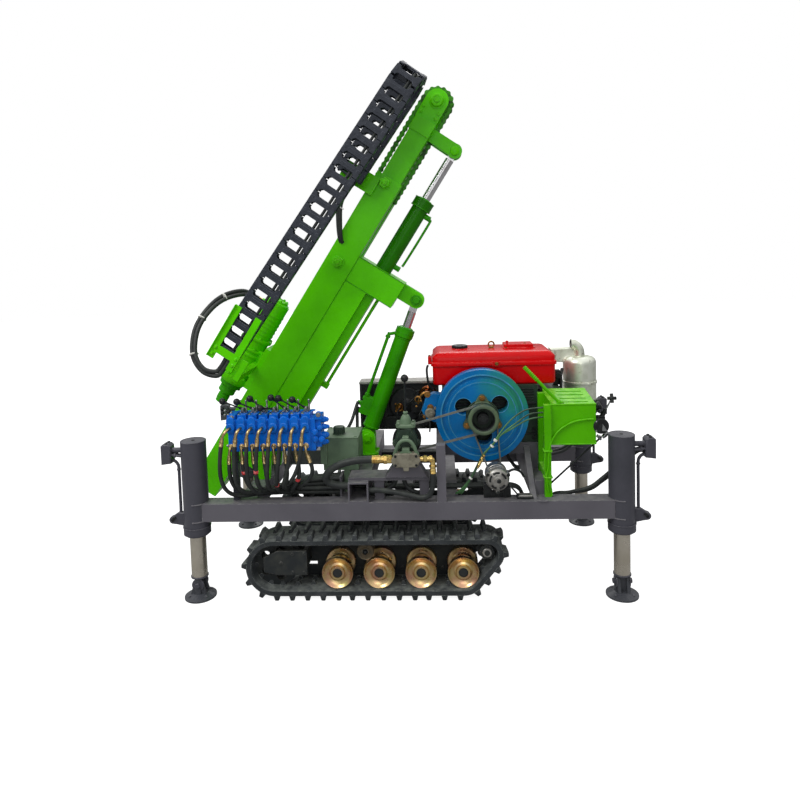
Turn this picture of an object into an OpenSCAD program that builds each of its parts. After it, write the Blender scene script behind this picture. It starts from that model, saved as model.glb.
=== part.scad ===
// Tracked pile driver and drill rig: a leaning mast on a crawler deck with four hydraulic jacks.
// X runs along the machine to the engine end, Y across it (the control side is -Y), Z is up.

/* [Deck] */
// Height and width of the deck's square tubes
beam_w = 90; // [70:5:110]
// Underside of the deck tubes above the ground
deck_z = 400; // [380:5:430]
// Half the distance between the front and rear jacks
jack_x = 1050; // [1030:5:1100]
// Half the distance between the near and far jacks
jack_y = 441; // [435:1:450]
// Square stub tube that lies across the deck
stub_w = 100; // [80:5:110]

/* [Jacks] */
// Radius of a jack's outer tube
jack_tube_r = 62; // [58:1:66]
// Underside of a jack's outer tube
jack_tube_z0 = 330; // [325:5:340]
// Top of a jack's outer tube
jack_tube_z1 = 800; // [780:5:850]
// Radius of a jack's rod
jack_rod_r = 39; // [34:1:42]
// Radius of a jack's round foot
foot_r = 78; // [70:1:78]

/* [Tracks] */
// Outer edge of each track from the machine's centre plane
track_y1 = 495; // [490:1:500]
// Width of a track
track_w = 180; // [160:5:190]
// Thickness of the rubber belt
belt_t = 17; // [15:1:20]
// Height of a lug above the belt
lug_h = 35; // [25:1:35]
// Nominal distance from lug to lug
lug_pitch = 72; // [66:1:80]
// Radius of the belt's outer face round the front idler
idler_belt_r = 130; // [125:1:135]
// Radius of the belt's outer face round the rear sprocket
sprocket_belt_r = 68; // [64:1:72]
// Front idler's centre along the machine
idler_x = -655; // [-670:5:-640]
// Rear sprocket's centre along the machine
sprocket_x = 394; // [385:1:400]
// Rear sprocket's centre above the ground
sprocket_z = 228; // [222:1:232]
// Radius of a bottom roller
roller_r = 78; // [70:1:78]

/* [Mast] */
// Lean of the mast from upright
lean = 33; // [30:0.5:35]
// Width of the lower mast box across the machine
mast_w = 220; // [200:5:230]
// Depth of the lower mast box
mast_d = 150; // [140:2:160]
// Wall of the lower mast box
mast_t = 8; // [6:1:10]
// Lower end of the mast along its own axis
mast_u0 = -259; // [-265:1:-240]
// Upper end of the lower mast box along its own axis
mast_u1 = 1731; // [1720:1:1740]
// Upper end of the narrow mast tube
neck_u1 = 2090; // [2080:1:2100]
// Head sprocket's centre along the mast
head_u = 2208; // [2200:1:2215]
// Pitch radius of the head sprocket
head_r = 77; // [74:1:80]

/* [Drill head] */
// Radius of the hydraulic motor
motor_r = 68; // [60:1:70]
// Radius of the gearbox flange
gearbox_r = 96; // [86:1:96]
// Radius of the bore in the spindle's nose
spindle_bore_r = 16; // [10:1:20]

/* [Cylinders] */
// Radius of the tilt cylinder's barrel
tilt_barrel_r = 45; // [42:1:48]
// Radius of the tilt cylinder's rod
tilt_rod_r = 24; // [20:1:26]
// Radius of the slide cylinder's barrel
slide_barrel_r = 46; // [42:1:48]
// Radius of the slide cylinder's rod
slide_rod_r = 24; // [20:1:26]

/* [Engine] */
// Thickness of a drive belt
drive_belt_t = 8; // [6:1:10]
// Radius of the engine's flywheel
flywheel_r = 235; // [220:1:240]
// Radius of the belt pulley on the flywheel
pulley_r = 77; // [70:1:85]
// Radius of the muffler
muffler_r = 90; // [80:1:95]

/* [Hidden] */

green = [0.29, 0.66, 0.02];
grey = [0.33, 0.32, 0.35];
black = [0.10, 0.10, 0.11];
dark_green = [0.13, 0.20, 0.14];
steel = [0.62, 0.62, 0.60];
brass = [0.72, 0.60, 0.33];
blue = [0.05, 0.38, 0.72];

// Seat between welded or bolted neighbours, and play between moving ones
seat = 0.3;
slide_gap = 0.5;
pin_gap = 0.3;
side_gap = 0.5;

deck_top = deck_z + beam_w;
beam_y0 = jack_y - beam_w / 2;
beam_y1 = jack_y + beam_w / 2;

// Mast axes: w runs back across the mast, u up along it; both turn with the lean
mast_front = -1262;
mast_back = mast_front + mast_d;
cradle_front = mast_back + slide_gap;
cradle_back = cradle_front + 132;
pivot_w = -1043;
pivot_u = 160;
pivot_x = pivot_w * cos(lean) + pivot_u * sin(lean);
pivot_z = -pivot_w * sin(lean) + pivot_u * cos(lean);
pivot_r = 25;
ear_t = 18;
ear_y0 = mast_w / 2 + 5;

box_w1 = -826;
eye_w = -730;
eye_u = 1247;
box_u0 = eye_u - 102;
box_u1 = eye_u + 48;
eye_x = eye_w * cos(lean) + eye_u * sin(lean);
eye_z = -eye_w * sin(lean) + eye_u * cos(lean);
base_x = -226;
base_z = 689;
tilt_angle = atan2(eye_x - base_x, eye_z - base_z);
tilt_len = sqrt(pow(eye_x - base_x, 2) + pow(eye_z - base_z, 2));
tilt_barrel_len = 640;
eye_r = 36;
eye_half = 22;
clevis_t = 16;
clevis_r = 44;

slide_w = -972;
slide_u1 = 1733;
slide_pin_u = 2038;
slide_rod_u0 = 1560;

axis_w = mast_front - 114;
head_w = -1187;
chain_plate = 11;
head_pin_r = 16;

function unit(v) = v / norm(v);

module block(x, y, z) {
    translate([x[0], y[0], z[0]]) cube([x[1] - x[0], y[1] - y[0], z[1] - z[0]]);
}

// A cylinder across the machine
module disc(x, z, r, y) {
    translate([x, y[1], z]) rotate([90, 0, 0]) cylinder(r = r, h = y[1] - y[0], $fn = 64);
}

// A side outline drawn in X and Z, given a thickness across the machine
module plate(y) {
    translate([0, y[1], 0]) rotate([90, 0, 0]) linear_extrude(y[1] - y[0]) children();
}

module both_sides() {
    children();
    mirror([0, 1, 0]) children();
}

module leaning() {
    rotate([0, lean, 0]) children();
}

// Hoses: a round sweep along points, one ring at each point
function bezier(a, b, c, d, n) = [for (i = [0:n])
    let (t = i / n, s = 1 - t) s * s * s * a + 3 * s * s * t * b + 3 * s * t * t * c + t * t * t * d];
// A route leaves and enters straight, so that its ends lie flat on what they meet
function route(a, out, b, into, n, lead = 12) = concat([a],
    bezier(a + lead * unit(out), a + out, b + into, b + lead * unit(into), n), [b]);
function way(p, i) = unit(p[min(i + 1, len(p) - 1)] - p[max(i - 1, 0)]);
module hose(p, r, side = [0, 1, 0]) {
    n = 8;
    m = len(p);
    rings = [for (i = [0:m - 1])
        let (t = way(p, i), a = unit(cross(t, side)), b = cross(t, a))
        for (k = [0:n - 1]) p[i] + r * (cos(360 * k / n) * a + sin(360 * k / n) * b)];
    walls = [for (i = [0:m - 2]) for (k = [0:n - 1])
        let (q = (k + 1) % n) [i * n + k, i * n + q, (i + 1) * n + q, (i + 1) * n + k]];
    polyhedron(points = rings, faces = concat([for (f = walls) [f[3], f[2], f[1], f[0]]],
        [[for (k = [0:n - 1]) k]], [[for (k = [0:n - 1]) (m - 1) * n + n - 1 - k]]), convexity = 6);
}

// Deck
cross_beams = [[-845, -755], [-330, -240], [-60, 30], [170, 260]];
rear_x = [643, 697];
rear_top = 560;
table_x = [-277, 122];
table_t = 14;
table_top = deck_top + stub_w + table_t;
pivot_beam = cross_beams[0];
module deck_frame() {
    color(grey) {
        difference() {
            union() {
                both_sides() block([-jack_x, jack_x], [-beam_y1, -beam_y0], [deck_z, deck_top]);
                for (b = cross_beams) block(b, [-beam_y0, beam_y0], [deck_z, deck_top]);
                block(rear_x, [-beam_y0, beam_y0], [deck_z + 20, rear_top]);
            }
            for (x = [-jack_x, jack_x], y = [-jack_y, jack_y])
                translate([x, y, deck_z - 1]) cylinder(r = jack_tube_r + seat, h = beam_w + 2, $fn = 64);
        }
        stub_tube();
        block([-330, -320], [-394, -300], [deck_top - 1, deck_top + 100]);
        block(table_x, [-455, -335], [table_top - table_t - 1, table_top]);
        for (x = [-150, 72]) block([x, x + 46], [-440, -400], [deck_top - 1, table_top - table_t]);
    }
}

stub_x = -277;
stub_wall = 8;
module stub_tube() {
    plate([-beam_y1, beam_y1]) difference() {
        translate([stub_x, deck_top]) square(stub_w);
        translate([stub_x + stub_wall, deck_top + stub_wall]) square(stub_w - 2 * stub_wall);
    }
}

// Jacks
collar_h = 36;
module jack_tube(x, y) {
    bore = jack_rod_r + slide_gap;
    difference() {
        union() {
            translate([x, y, jack_tube_z0]) cylinder(r = jack_tube_r, h = jack_tube_z1 - jack_tube_z0, $fn = 64);
            translate([x, y, jack_tube_z0]) cylinder(r = jack_tube_r + 4, h = collar_h, $fn = 64);
        }
        translate([x, y, jack_tube_z0 - 1]) cylinder(r = bore, h = collar_h + 1, $fn = 64);
        translate([x, y, jack_tube_z0 + collar_h - 1])
            cylinder(r = jack_tube_r - 8, h = jack_tube_z1 - jack_tube_z0 - collar_h - 11, $fn = 64);
        translate([x, y, jack_tube_z1 - 20]) cylinder(r = 4, h = 21, $fn = 24);
    }
}

module jack_tubes() {
    color(grey) for (x = [-jack_x, jack_x], y = [-jack_y, jack_y]) jack_tube(x, y);
}

jack_rod_z0 = 62;
jack_rod_z1 = 560;
foot_pin_z = 70;
module jack_leg(x, y, turned) {
    translate([x, y, 0]) rotate([0, 0, turned]) {
        color(steel) translate([0, 0, 104]) cylinder(r = jack_rod_r, h = jack_rod_z1 - 104, $fn = 64);
        color(grey) {
            rotate_extrude($fn = 64) polygon([[0, 0], [foot_r, 0], [foot_r, 8], [40, 26], [0, 26]]);
            intersection() {
                translate([0, 0, 20]) cylinder(r = jack_rod_r, h = 85, $fn = 64);
                block([-14, 14], [-60, 60], [20, 105]);
            }
            for (s = [-1, 1]) plate([s * 22 - 7, s * 22 + 7])
                polygon([[-40, 18], [40, 18], [22, 84], [12, 98], [-12, 98], [-22, 84]]);
            disc(0, foot_pin_z, 11, [-36, 36]);
        }
    }
}
module jack_leg_fn() { jack_leg(-jack_x, -jack_y, 0); }
module jack_leg_ff() { jack_leg(-jack_x, jack_y, 0); }
module jack_leg_rn() { jack_leg(jack_x, -jack_y, 90); }
module jack_leg_rf() { jack_leg(jack_x, jack_y, 90); }

// Lock valves on the jacks, each with its thin pipe and lower lug
valve_out = jack_x + 157;
lug_x = jack_x + 118;
lug_z = 400;
lug_hole_r = 7;
module lock_valve() {
    block([valve_out - 50, valve_out], [-30, 30], [686, 780]);
    block([jack_tube_r + jack_x - 2, valve_out - 49], [-12, 12], [735, 757]);
    translate([lug_x - 4, 0, lug_z + 16]) cylinder(r = 7, h = 280, $fn = 20);
    plate([-8, 8]) difference() {
        union() {
            translate([jack_x + jack_tube_r - 4, lug_z - 30]) square([40, 56]);
            translate([jack_x + jack_tube_r + 20, lug_z - 17]) square([lug_x - jack_x - jack_tube_r - 20, 34]);
            translate([lug_x, lug_z]) circle(r = 17, $fn = 48);
        }
        translate([lug_x, lug_z]) circle(r = lug_hole_r, $fn = 32);
    }
}
module lock_valves() {
    color(grey) for (y = [-jack_y, jack_y], side = [0, 1]) translate([0, y, 0]) mirror([side, 0, 0])
        difference() {
            lock_valve();
            translate([jack_x, 0, 0]) cylinder(r = jack_tube_r + seat, h = 900, $fn = 64);
        }
}

// Track loop: wheels are [x, z, radius of the belt's outer face], taken clockwise
roller_x0 = -345;
roller_gap = 207;
roller_count = 4;
roller_z = lug_h + belt_t + roller_r;
track_y0 = track_y1 - track_w;
track_mid = track_y1 - track_w / 2;
idler_z = lug_h + idler_belt_r;
loop = [[sprocket_x, sprocket_z, sprocket_belt_r],
    [roller_x0 + roller_gap * (roller_count - 1), roller_z, roller_r + belt_t],
    [idler_x, idler_z, idler_belt_r]];
function way_angle(a, b) = atan2(b[1] - a[1], b[0] - a[0])
    + acos((a[2] - b[2]) / norm([b[0] - a[0], b[1] - a[1]]));
function circ(c, a, grow = 0) = [c[0], c[1]] + (c[2] + grow) * [cos(a), sin(a)];
wheels = len(loop);
leave = [for (i = [0:wheels - 1]) way_angle(loop[i], loop[(i + 1) % wheels])];
arrive = [for (i = [0:wheels - 1]) leave[(i + wheels - 1) % wheels]];
function fall(a, b) = (a - b) - 360 * floor((a - b) / 360);
arc_len = [for (i = [0:wheels - 1]) fall(arrive[i], leave[i]) * PI / 180 * loop[i][2]];
run_len = [for (i = [0:wheels - 1])
    norm(circ(loop[(i + 1) % wheels], leave[i]) - circ(loop[i], leave[i]))];
function total(v, n) = n <= 0 ? 0 : v[n - 1] + total(v, n - 1);
loop_len = total(arc_len, wheels) + total(run_len, wheels);
lug_count = round(loop_len / lug_pitch);
function on_loop(s, i, up) = s <= arc_len[i]
    ? circ(loop[i], arrive[i] - s / loop[i][2] * 180 / PI, up)
    : s <= arc_len[i] + run_len[i]
        ? let (t = (s - arc_len[i]) / run_len[i])
            (1 - t) * circ(loop[i], leave[i], up) + t * circ(loop[(i + 1) % wheels], leave[i], up)
        : on_loop(s - arc_len[i] - run_len[i], (i + 1) % wheels, up);
function track_point(s, up) = on_loop(s - loop_len * floor(s / loop_len), 0, up);
// Lug outline: [share of the pitch, height above the belt]
lug_shape = [[0.12, 0], [0.22, 0.75], [0.34, 1], [0.46, 0.95], [0.52, 0.45], [0.60, 0], [0.86, 0]];
outer_line = [for (k = [0:lug_count - 1]) for (q = lug_shape)
    track_point((k + q[0]) * loop_len / lug_count, q[1] * lug_h)];
inner_line = [for (i = [0:wheels - 1]) for (k = [0:24])
    circ(loop[i], arrive[i] - fall(arrive[i], leave[i]) * k / 24, -belt_t)];
module track(y) {
    color(black) plate(y) difference() {
        polygon(outer_line);
        polygon(inner_line);
    }
}
module track_near() { track([-track_y1, -track_y0]); }
module track_far() { track([track_y0, track_y1]); }

// Running gear
flange_t = 26;
module roller(x) {
    r = roller_r - seat;
    for (y = [track_mid - 70, track_mid + 70 - flange_t]) disc(x, roller_z, r, [y, y + flange_t]);
    disc(x, roller_z, 46, [track_mid - 70, track_mid + 70]);
}
module track_rollers() {
    color(grey) carrier_rollers();
    color(brass) both_sides() for (i = [0:roller_count - 1]) difference() {
        roller(roller_x0 + roller_gap * i);
        disc(roller_x0 + roller_gap * i, roller_z, axle_r + seat, [track_y0 - 20, track_y1 + 5]);
        translate([roller_x0 + roller_gap * i, track_mid + 71, roller_z]) rotate([90, 0, 0])
            rotate_extrude($fn = 64) polygon([[38, -1], [66, -1], [58, 10], [44, 10]]);
    }
}

axle_r = 24;
carrier_x = -204;
carrier_r = 42;
carrier_z = sprocket_z + sprocket_belt_r - belt_t - carrier_r;
module carrier_rollers() {
    both_sides() difference() {
        disc(carrier_x, carrier_z - 1, carrier_r, [track_mid - 60, track_mid + 60]);
        disc(carrier_x, carrier_z - 1, 14 + seat, [track_mid - 61, track_mid + 61]);
    }
}

idler_r = idler_belt_r - belt_t - seat;
module track_idlers() {
    color(black) both_sides() difference() {
        union() {
            disc(idler_x, idler_z, idler_r, [track_mid - 30, track_mid + 30]);
            disc(idler_x, idler_z, 30, [track_mid - 50, track_mid + 50]);
        }
        disc(idler_x, idler_z, 20 + seat, [track_mid - 51, track_mid + 51]);
        for (k = [0:4]) translate([idler_x, 0, idler_z]) rotate([0, k * 72, 0])
            disc(66, 0, 24, [track_mid - 31, track_mid + 31]);
    }
}

teeth = 9;
module track_sprockets() {
    r = sprocket_belt_r - belt_t - seat;
    color(grey) both_sides() difference() {
        union() {
            plate([track_mid - 16, track_mid + 16]) translate([sprocket_x, sprocket_z]) difference() {
                circle(r = r, $fn = 64);
                for (k = [0:teeth - 1]) rotate(k * 360 / teeth) translate([r + 3, 0]) circle(r = 9, $fn = 24);
            }
            disc(sprocket_x, sprocket_z, 30, [track_mid - 16, track_mid + 62]);
        }
        disc(sprocket_x, sprocket_z, 12, [track_mid + 40, track_mid + 63]);
    }
}

// Track frames: an inner beam with the axles, the idler fork and the final drive
frame_y0 = track_y0 + 2;
frame_y1 = track_y0 + 18;
module track_frames() {
    color(black) {
        both_sides() {
            plate([frame_y0, frame_y1]) polygon([[-470, 105], [330, 105], [352, 150], [330, 205], [250, 250],
                [-240, 250], [-470, 235]]);
            for (i = [0:roller_count - 1])
                disc(roller_x0 + roller_gap * i, roller_z, axle_r, [frame_y1 - 1, track_mid + 60]);
            disc(carrier_x, carrier_z - 1, 14, [frame_y1 - 1, track_mid + 66]);
            plate([frame_y0, frame_y1]) translate([-720, 126]) square([255, 90]);
            disc(idler_x, idler_z, 20, [frame_y1 - 1, track_mid + 56]);
            plate([track_mid + 54, track_mid + 72]) difference() {
                polygon([[-711, 140], [-640, 124], [-494, 124], [-494, 246], [-640, 246], [-711, 212]]);
                translate([-715, 168]) square([48, 14]);
            }
            block([-520, -500], [frame_y1 - 1, track_mid + 55], [140, 230]);
            disc(sprocket_x, sprocket_z, 44, [frame_y0, track_mid - 16 - seat]);
            plate([frame_y0, frame_y1]) polygon([[300, 150], [400, 190], [400, 262], [300, 240]]);
        }
    }
}

// Cross tubes between the track frames, with the posts that carry the deck
module cross_tubes() {
    color(black) for (x = [-330, 170]) {
        block([x, x + 90], [-frame_y0, frame_y0], [150, 240]);
        both_sides() block([x + 10, x + 80], [150, 220], [239, deck_z]);
    }
}

// Mast pivot ears on the front cross beam
module mast_brackets() {
    color(green) {
        cylinder_bracket();
        both_sides() plate([ear_y0, ear_y0 + ear_t]) difference() {
            ear_outline();
            translate([pivot_x, pivot_z]) circle(r = pivot_r, $fn = 64);
        }
        disc(pivot_x, pivot_z, pivot_r, [-ear_y0 - ear_t - 6, ear_y0 + ear_t + 6]);
    }
}
module ear_outline() {
    translate([pivot_x, pivot_z]) circle(r = 55, $fn = 64);
    polygon([[pivot_beam[0], deck_top], [pivot_beam[1], deck_top], [pivot_x + 54, pivot_z - 10],
        [pivot_x - 52, pivot_z - 18]]);
}

// Engine
fly_x = 395;
fly_z = 865;
fly_y0 = -300;
fly_y1 = -228;
bed_top = 700;
bed_rail = 60;
module engine_bed() {
    color(grey) {
        for (y = [-215, 85]) {
            block([158, rear_x[1]], [y, y + bed_rail], [bed_top - bed_rail, bed_top]);
            block([158, 202], [y, y + bed_rail], [deck_top, bed_top - bed_rail]);
            block([rear_x[0] + 5, rear_x[1] - 5], [y, y + bed_rail], [rear_top, bed_top - bed_rail + 1]);
        }
        translate([612, 0, 0]) rotate([90, 0, 90]) linear_extrude(28)
            polygon([[-462, deck_top], [-420, deck_top], [-214, 641], [-214, 682]]);
        for (x = [158, 616]) block([x, x + 44], [-155, 85], [bed_top - bed_rail, bed_top]);
        block([158, 202], [-beam_y1, -beam_y1 + 44], [deck_top, 770]);
        block([158, 202], [-beam_y1 + 43, -214], [bed_top - 44, bed_top]);
    }
}

module engine_block() {
    color(dark_green) {
        block([200, 690], [-205, 130], [bed_top, 1001 - seat]);
        disc(fly_x, fly_z, 34, [fly_y1 + slide_gap, -204]);
        block([689, 830], [-120, 90], [bed_top + 60, 960]);
    }
    color(blue) plate([-222, -170]) polygon([[86, 877], [110, 832], [160, 812], [205, 820], [205, 960],
        [150, 968], [112, 950]]);
    color(steel) disc(130, 866, 28, [-236, -221]);
}

tank_x = [148, 788];
tank_y = [-190, 150];
rim_z = [1107, 1121];
tank_top = 1172;
module fuel_tank() {
    depth = tank_y[1] - tank_y[0];
    color([0.78, 0.04, 0.06]) {
        translate([tank_x[0], tank_y[0], 1001]) hull() {
            translate([10, 10, 0]) cube([tank_x[1] - tank_x[0] - 20, depth - 20, 1]);
            translate([0, 0, 30]) cube([tank_x[1] - tank_x[0], depth, rim_z[0] - 1030]);
        }
        block([tank_x[0] - 8, tank_x[1] + 9], [tank_y[0] - 8, tank_y[1] + 8], rim_z);
        translate([tank_x[0], tank_y[0], rim_z[1] - 1]) hull() {
            cube([tank_x[1] - tank_x[0], depth, 32]);
            translate([18, 18, 0]) cube([tank_x[1] - tank_x[0] - 36, depth - 36, tank_top - rim_z[1] + 1]);
        }
        block([537, 695], [-60, 60], [tank_top - 1, 1208]);
        block([122, 142], [-150, -90], [1108, 1150]);
    }
    color(black) {
        translate([298, -20, tank_top - 1]) cylinder(r = 42, h = 20, $fn = 48);
        translate([470, -20, tank_top - 1]) cylinder(r = 10, h = 8, $fn = 24);
        translate([470, -20, tank_top + 20]) rotate([90, 0, 0]) rotate_extrude($fn = 32)
            translate([15, 0]) circle(r = 6, $fn = 20);
    }
}

muffler_x = 963;
muffler_y = 60;
module air_cleaner() {
    color(steel) {
        translate([muffler_x, muffler_y, 0]) rotate_extrude($fn = 64)
            polygon([[0, 800], [70, 800], [muffler_r, 822], [muffler_r, 955], [muffler_r + 4, 958],
                [muffler_r + 4, 968], [muffler_r, 971], [muffler_r, 1080], [62, 1104], [0, 1104]]);
        translate([muffler_x, muffler_y, 1100]) cylinder(r = 29, h = 50, $fn = 48);
        translate([muffler_x - 50, muffler_y, 1145]) rotate([90, 0, 0])
            rotate_extrude(angle = 70, $fn = 64) translate([50, 0]) circle(r = 25, $fn = 48);
        block([830 + seat, muffler_x - 60], [muffler_y - 30, muffler_y + 30], [860, 920]);
        block([806, muffler_x], [muffler_y + 5, muffler_y + 85], [1098, 1146]);
    }
}

module flywheel() {
    color(blue) difference() {
        disc(fly_x, fly_z, flywheel_r, [fly_y0, fly_y1]);
        translate([fly_x, fly_y0, fly_z]) rotate([90, 0, 0]) rotate_extrude($fn = 96)
            polygon([[188, -8], [206, -8], [206, 1], [188, 1]]);
        for (k = [0:2]) translate([fly_x, 0, fly_z]) rotate([0, 57 + 120 * k, 0])
            disc(0, 106, 43, [fly_y0 - 1, fly_y1 + 1]);
    }
}

pump_groove = [-366, -346];
alt_groove = [-334, -314];
module drive_pulley() {
    color(dark_green) difference() {
        union() {
            plate([alt_groove[1], fly_y0]) translate([fly_x, fly_z]) union() {
                circle(r = 84, $fn = 64);
                for (k = [0:2]) rotate(90 + 120 * k) translate([92, 0]) circle(r = 20, $fn = 32);
            }
            disc(fly_x, fly_z, pulley_r - 12, [-390, fly_y0 - 13]);
            for (y = [[-390, pump_groove[0]], [pump_groove[1], alt_groove[0]]]) disc(fly_x, fly_z, pulley_r, y);
        }
        disc(fly_x, fly_z, pulley_r - 22, [-391, -330]);
        for (k = [0:2]) translate([fly_x, 0, fly_z]) rotate([0, 120 * k, 0]) disc(0, 96, 6, [-330, -299]);
    }
}

alt_x = 452;
alt_z = 592;
alt_r = 56;
module alternator() {
    color(steel) {
        difference() {
            union() {
                disc(alt_x, alt_z, alt_r, [-486, -362]);
                disc(alt_x, alt_z, alt_r - 10, [-492, -354]);
                disc(alt_x, alt_z, 9, [-355, alt_groove[0] - 6 - seat]);
            }
            for (k = [0:7]) translate([alt_x, 0, alt_z]) rotate([0, 45 * k, 0]) disc(0, 34, 7, [-493, -470]);
        }
        plate([-440, -400]) difference() {
            polygon([[alt_x - 70, deck_top], [alt_x + 70, deck_top], [alt_x + 62, alt_z], [alt_x - 62, alt_z]]);
            translate([alt_x, alt_z]) circle(r = alt_r - 1, $fn = 64);
        }
    }
}

alt_pulley_r = 34;
module alternator_pulley() {
    color(black) {
        disc(alt_x, alt_z, alt_pulley_r, [alt_groove[0] - 6, alt_groove[0]]);
        disc(alt_x, alt_z, alt_pulley_r - 8, alt_groove);
        disc(alt_x, alt_z, alt_pulley_r, [alt_groove[1], alt_groove[1] + 6]);
    }
}

pump_x = 12;
pump_z = 765;
pump_pulley_r = 72;
module pump_drive() {
    color(dark_green) {
        plate([-470, -390]) union() {
            translate([pump_x, pump_z]) circle(r = 66, $fn = 64);
            translate([pump_x - 52, pump_z]) square([104, 92]);
            translate([pump_x - 62, pump_z + 86]) square([124, 16]);
            polygon([[pump_x - 50, 700], [pump_x - 108, table_top], [pump_x + 104, table_top], [pump_x + 50, 700]]);
        }
        translate([pump_x, -430, pump_z + 100]) cylinder(r1 = 30, r2 = 16, h = 46, $fn = 48);
        disc(pump_x, pump_z, 30, [-391, pump_groove[0] - 9 - seat]);
    }
}

module pump_pulley() {
    color(grey) {
        disc(pump_x, pump_z, pump_pulley_r, [pump_groove[0] - 9, pump_groove[0]]);
        disc(pump_x, pump_z, pump_pulley_r - 12, pump_groove);
        disc(pump_x, pump_z, pump_pulley_r, [pump_groove[1], pump_groove[1] + 8]);
    }
}

gear_pump_z = 707;
pump_fit_y = -494;
elbow_x = pump_x + 128;
module gear_pump() {
    color(steel) {
        plate([-519, -470 - seat]) union() {
            translate([pump_x - 34, gear_pump_z - 44]) square([68, 88]);
            for (s = [-1, 1]) translate([pump_x + s * 34, gear_pump_z]) circle(r = 34, $fn = 48);
        }
    }
    color(brass) {
        translate([pump_x - 66, pump_fit_y, gear_pump_z]) rotate([0, -90, 0]) cylinder(r = 18, h = 100, $fn = 32);
        translate([pump_x + 66, pump_fit_y, gear_pump_z]) rotate([0, 90, 0])
            cylinder(r = 14, h = elbow_x - pump_x - 60, $fn = 32);
        translate([elbow_x, pump_fit_y, gear_pump_z - 62]) cylinder(r = 14, h = 76, $fn = 32);
    }
}

module oil_cooler() {
    color(black) {
        difference() {
            block([-274, 178], [85, 190], [bed_top + seat, 974]);
            block([-120, 168], [84, 110], [709, 958]);
            block([-262, -132], [84, 92], [711, 962]);
        }
        disc(-8, 838, 96, [96, 112]);
        disc(-46, 828, 26, [86, 112]);
        block([-58, 28], [100, 170], [deck_top, 711]);
    }
}

// Points of a belt round two pulleys: an arc on each, joined by the straight runs
function belt_points(a, ra, b, rb) =
    let (turn = atan2(b[1] - a[1], b[0] - a[0]), lift = acos((ra - rb) / norm(b - a)))
    concat([for (k = [0:24]) let (t = turn + lift + (360 - 2 * lift) * k / 24) a + ra * [cos(t), sin(t)]],
        [for (k = [0:16]) let (t = turn - lift + 2 * lift * k / 16) b + rb * [cos(t), sin(t)]]);
module belt_run(groove, a, ra, b, rb) {
    plate([groove[0] + slide_gap, groove[1] - slide_gap]) difference() {
        polygon(belt_points(a, ra + drive_belt_t, b, rb + drive_belt_t));
        polygon(belt_points(a, ra + slide_gap, b, rb + slide_gap));
    }
}
module drive_belts() {
    color(black) {
        belt_run(pump_groove, [fly_x, fly_z], pulley_r - 12, [pump_x, pump_z], pump_pulley_r - 12);
        belt_run(alt_groove, [fly_x, fly_z], pulley_r - 12, [alt_x, alt_z], alt_pulley_r - 8);
    }
}

module oil_tank() {
    color(dark_green) {
        block([-420, -240], [-330, -130], [deck_top + stub_w + 12, 770]);
        for (y = [-330, -160]) block([-316, -284], [y, y + 30], [deck_top, deck_top + stub_w + 13]);
        block([-430, -398], [valve_y1 + seat, -329], [640, 750]);
    }
    color(black) translate([-345, -260, 769]) cylinder(r = 26, h = 36, $fn = 48);
}

// Valve block with eight sections
valve_x0 = -862;
valve_x1 = -390;
valve_y0 = -460;
valve_y1 = -350;
port_x0 = -849;
port_gap = 53;
ports = 8;
valve_z1 = 904;
cap_z1 = 926;
port_zs = [771, 866];
// How far the elbows of each row of ports stand out (mm)
port_out = [22, 51];
fitting_r = 10;
module valve_block() {
    color(blue) {
        block([valve_x0, valve_x1 - 40], [valve_y0, valve_y1], [745, valve_z1]);
        for (i = [0:ports - 1]) {
            block([port_x0 + port_gap * i - 21, port_x0 + port_gap * i + 21], [valve_y0 + 8, valve_y1 - 8],
                [valve_z1 - 1, cap_z1]);
        }
        block([valve_x1 - 41, valve_x1 - 14], [valve_y0 + 12, valve_y1 - 8], [760, 915]);
        for (b = [[780, 14], [815, 17], [856, 13], [892, 15]])
            translate([valve_x1 - 15, valve_y0 + 32, b[0]]) rotate([0, 90, 0]) cylinder(r = b[1], h = 15, $fn = 32);
    }
    color(grey) block([valve_x0, valve_x0 + 30], [-430, -400], [deck_top, 745]);
}

// Each lever: [lean, length, turn of the lean towards the near side]
levers = [[68, 110, 0], [62, 90, 16], [53, 86, 0], [80, 76, 38], [51, 88, 0], [56, 98, 10], [54, 81, 15]];
lever_x0 = port_x0 + 47;
knob_r = 17;
module hand_levers() {
    color(black) {
        for (i = [0:len(levers) - 1]) translate([lever_x0 + port_gap * i, -405, cap_z1 + seat]) {
            translate([-13, -9, 0]) cube([26, 18, 5]);
            cylinder(r = 7, h = 24, $fn = 32);
            translate([0, 0, 18]) rotate([0, 0, levers[i][2]]) rotate([0, -levers[i][0], 0]) {
                cylinder(r = 5, h = levers[i][1], $fn = 20);
                translate([0, 0, levers[i][1]]) sphere(r = knob_r, $fn = 32);
            }
        }
        translate([pump_x, -430, pump_z + 146 + seat]) {
            cylinder(r = 6, h = 178, $fn = 20);
            translate([0, 0, 178]) sphere(r = 19, $fn = 32);
        }
    }
}

module port_fittings() {
    color(brass) for (i = [0:ports - 1], j = [0, 1])
        translate([port_x0 + port_gap * i, valve_y0 - seat, port_zs[j]]) {
            rotate([90, 0, 0]) cylinder(r = fitting_r - 2, h = port_out[j], $fn = 32);
            translate([0, -port_out[j], -52]) cylinder(r = fitting_r, h = 56, $fn = 32);
        }
}

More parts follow.
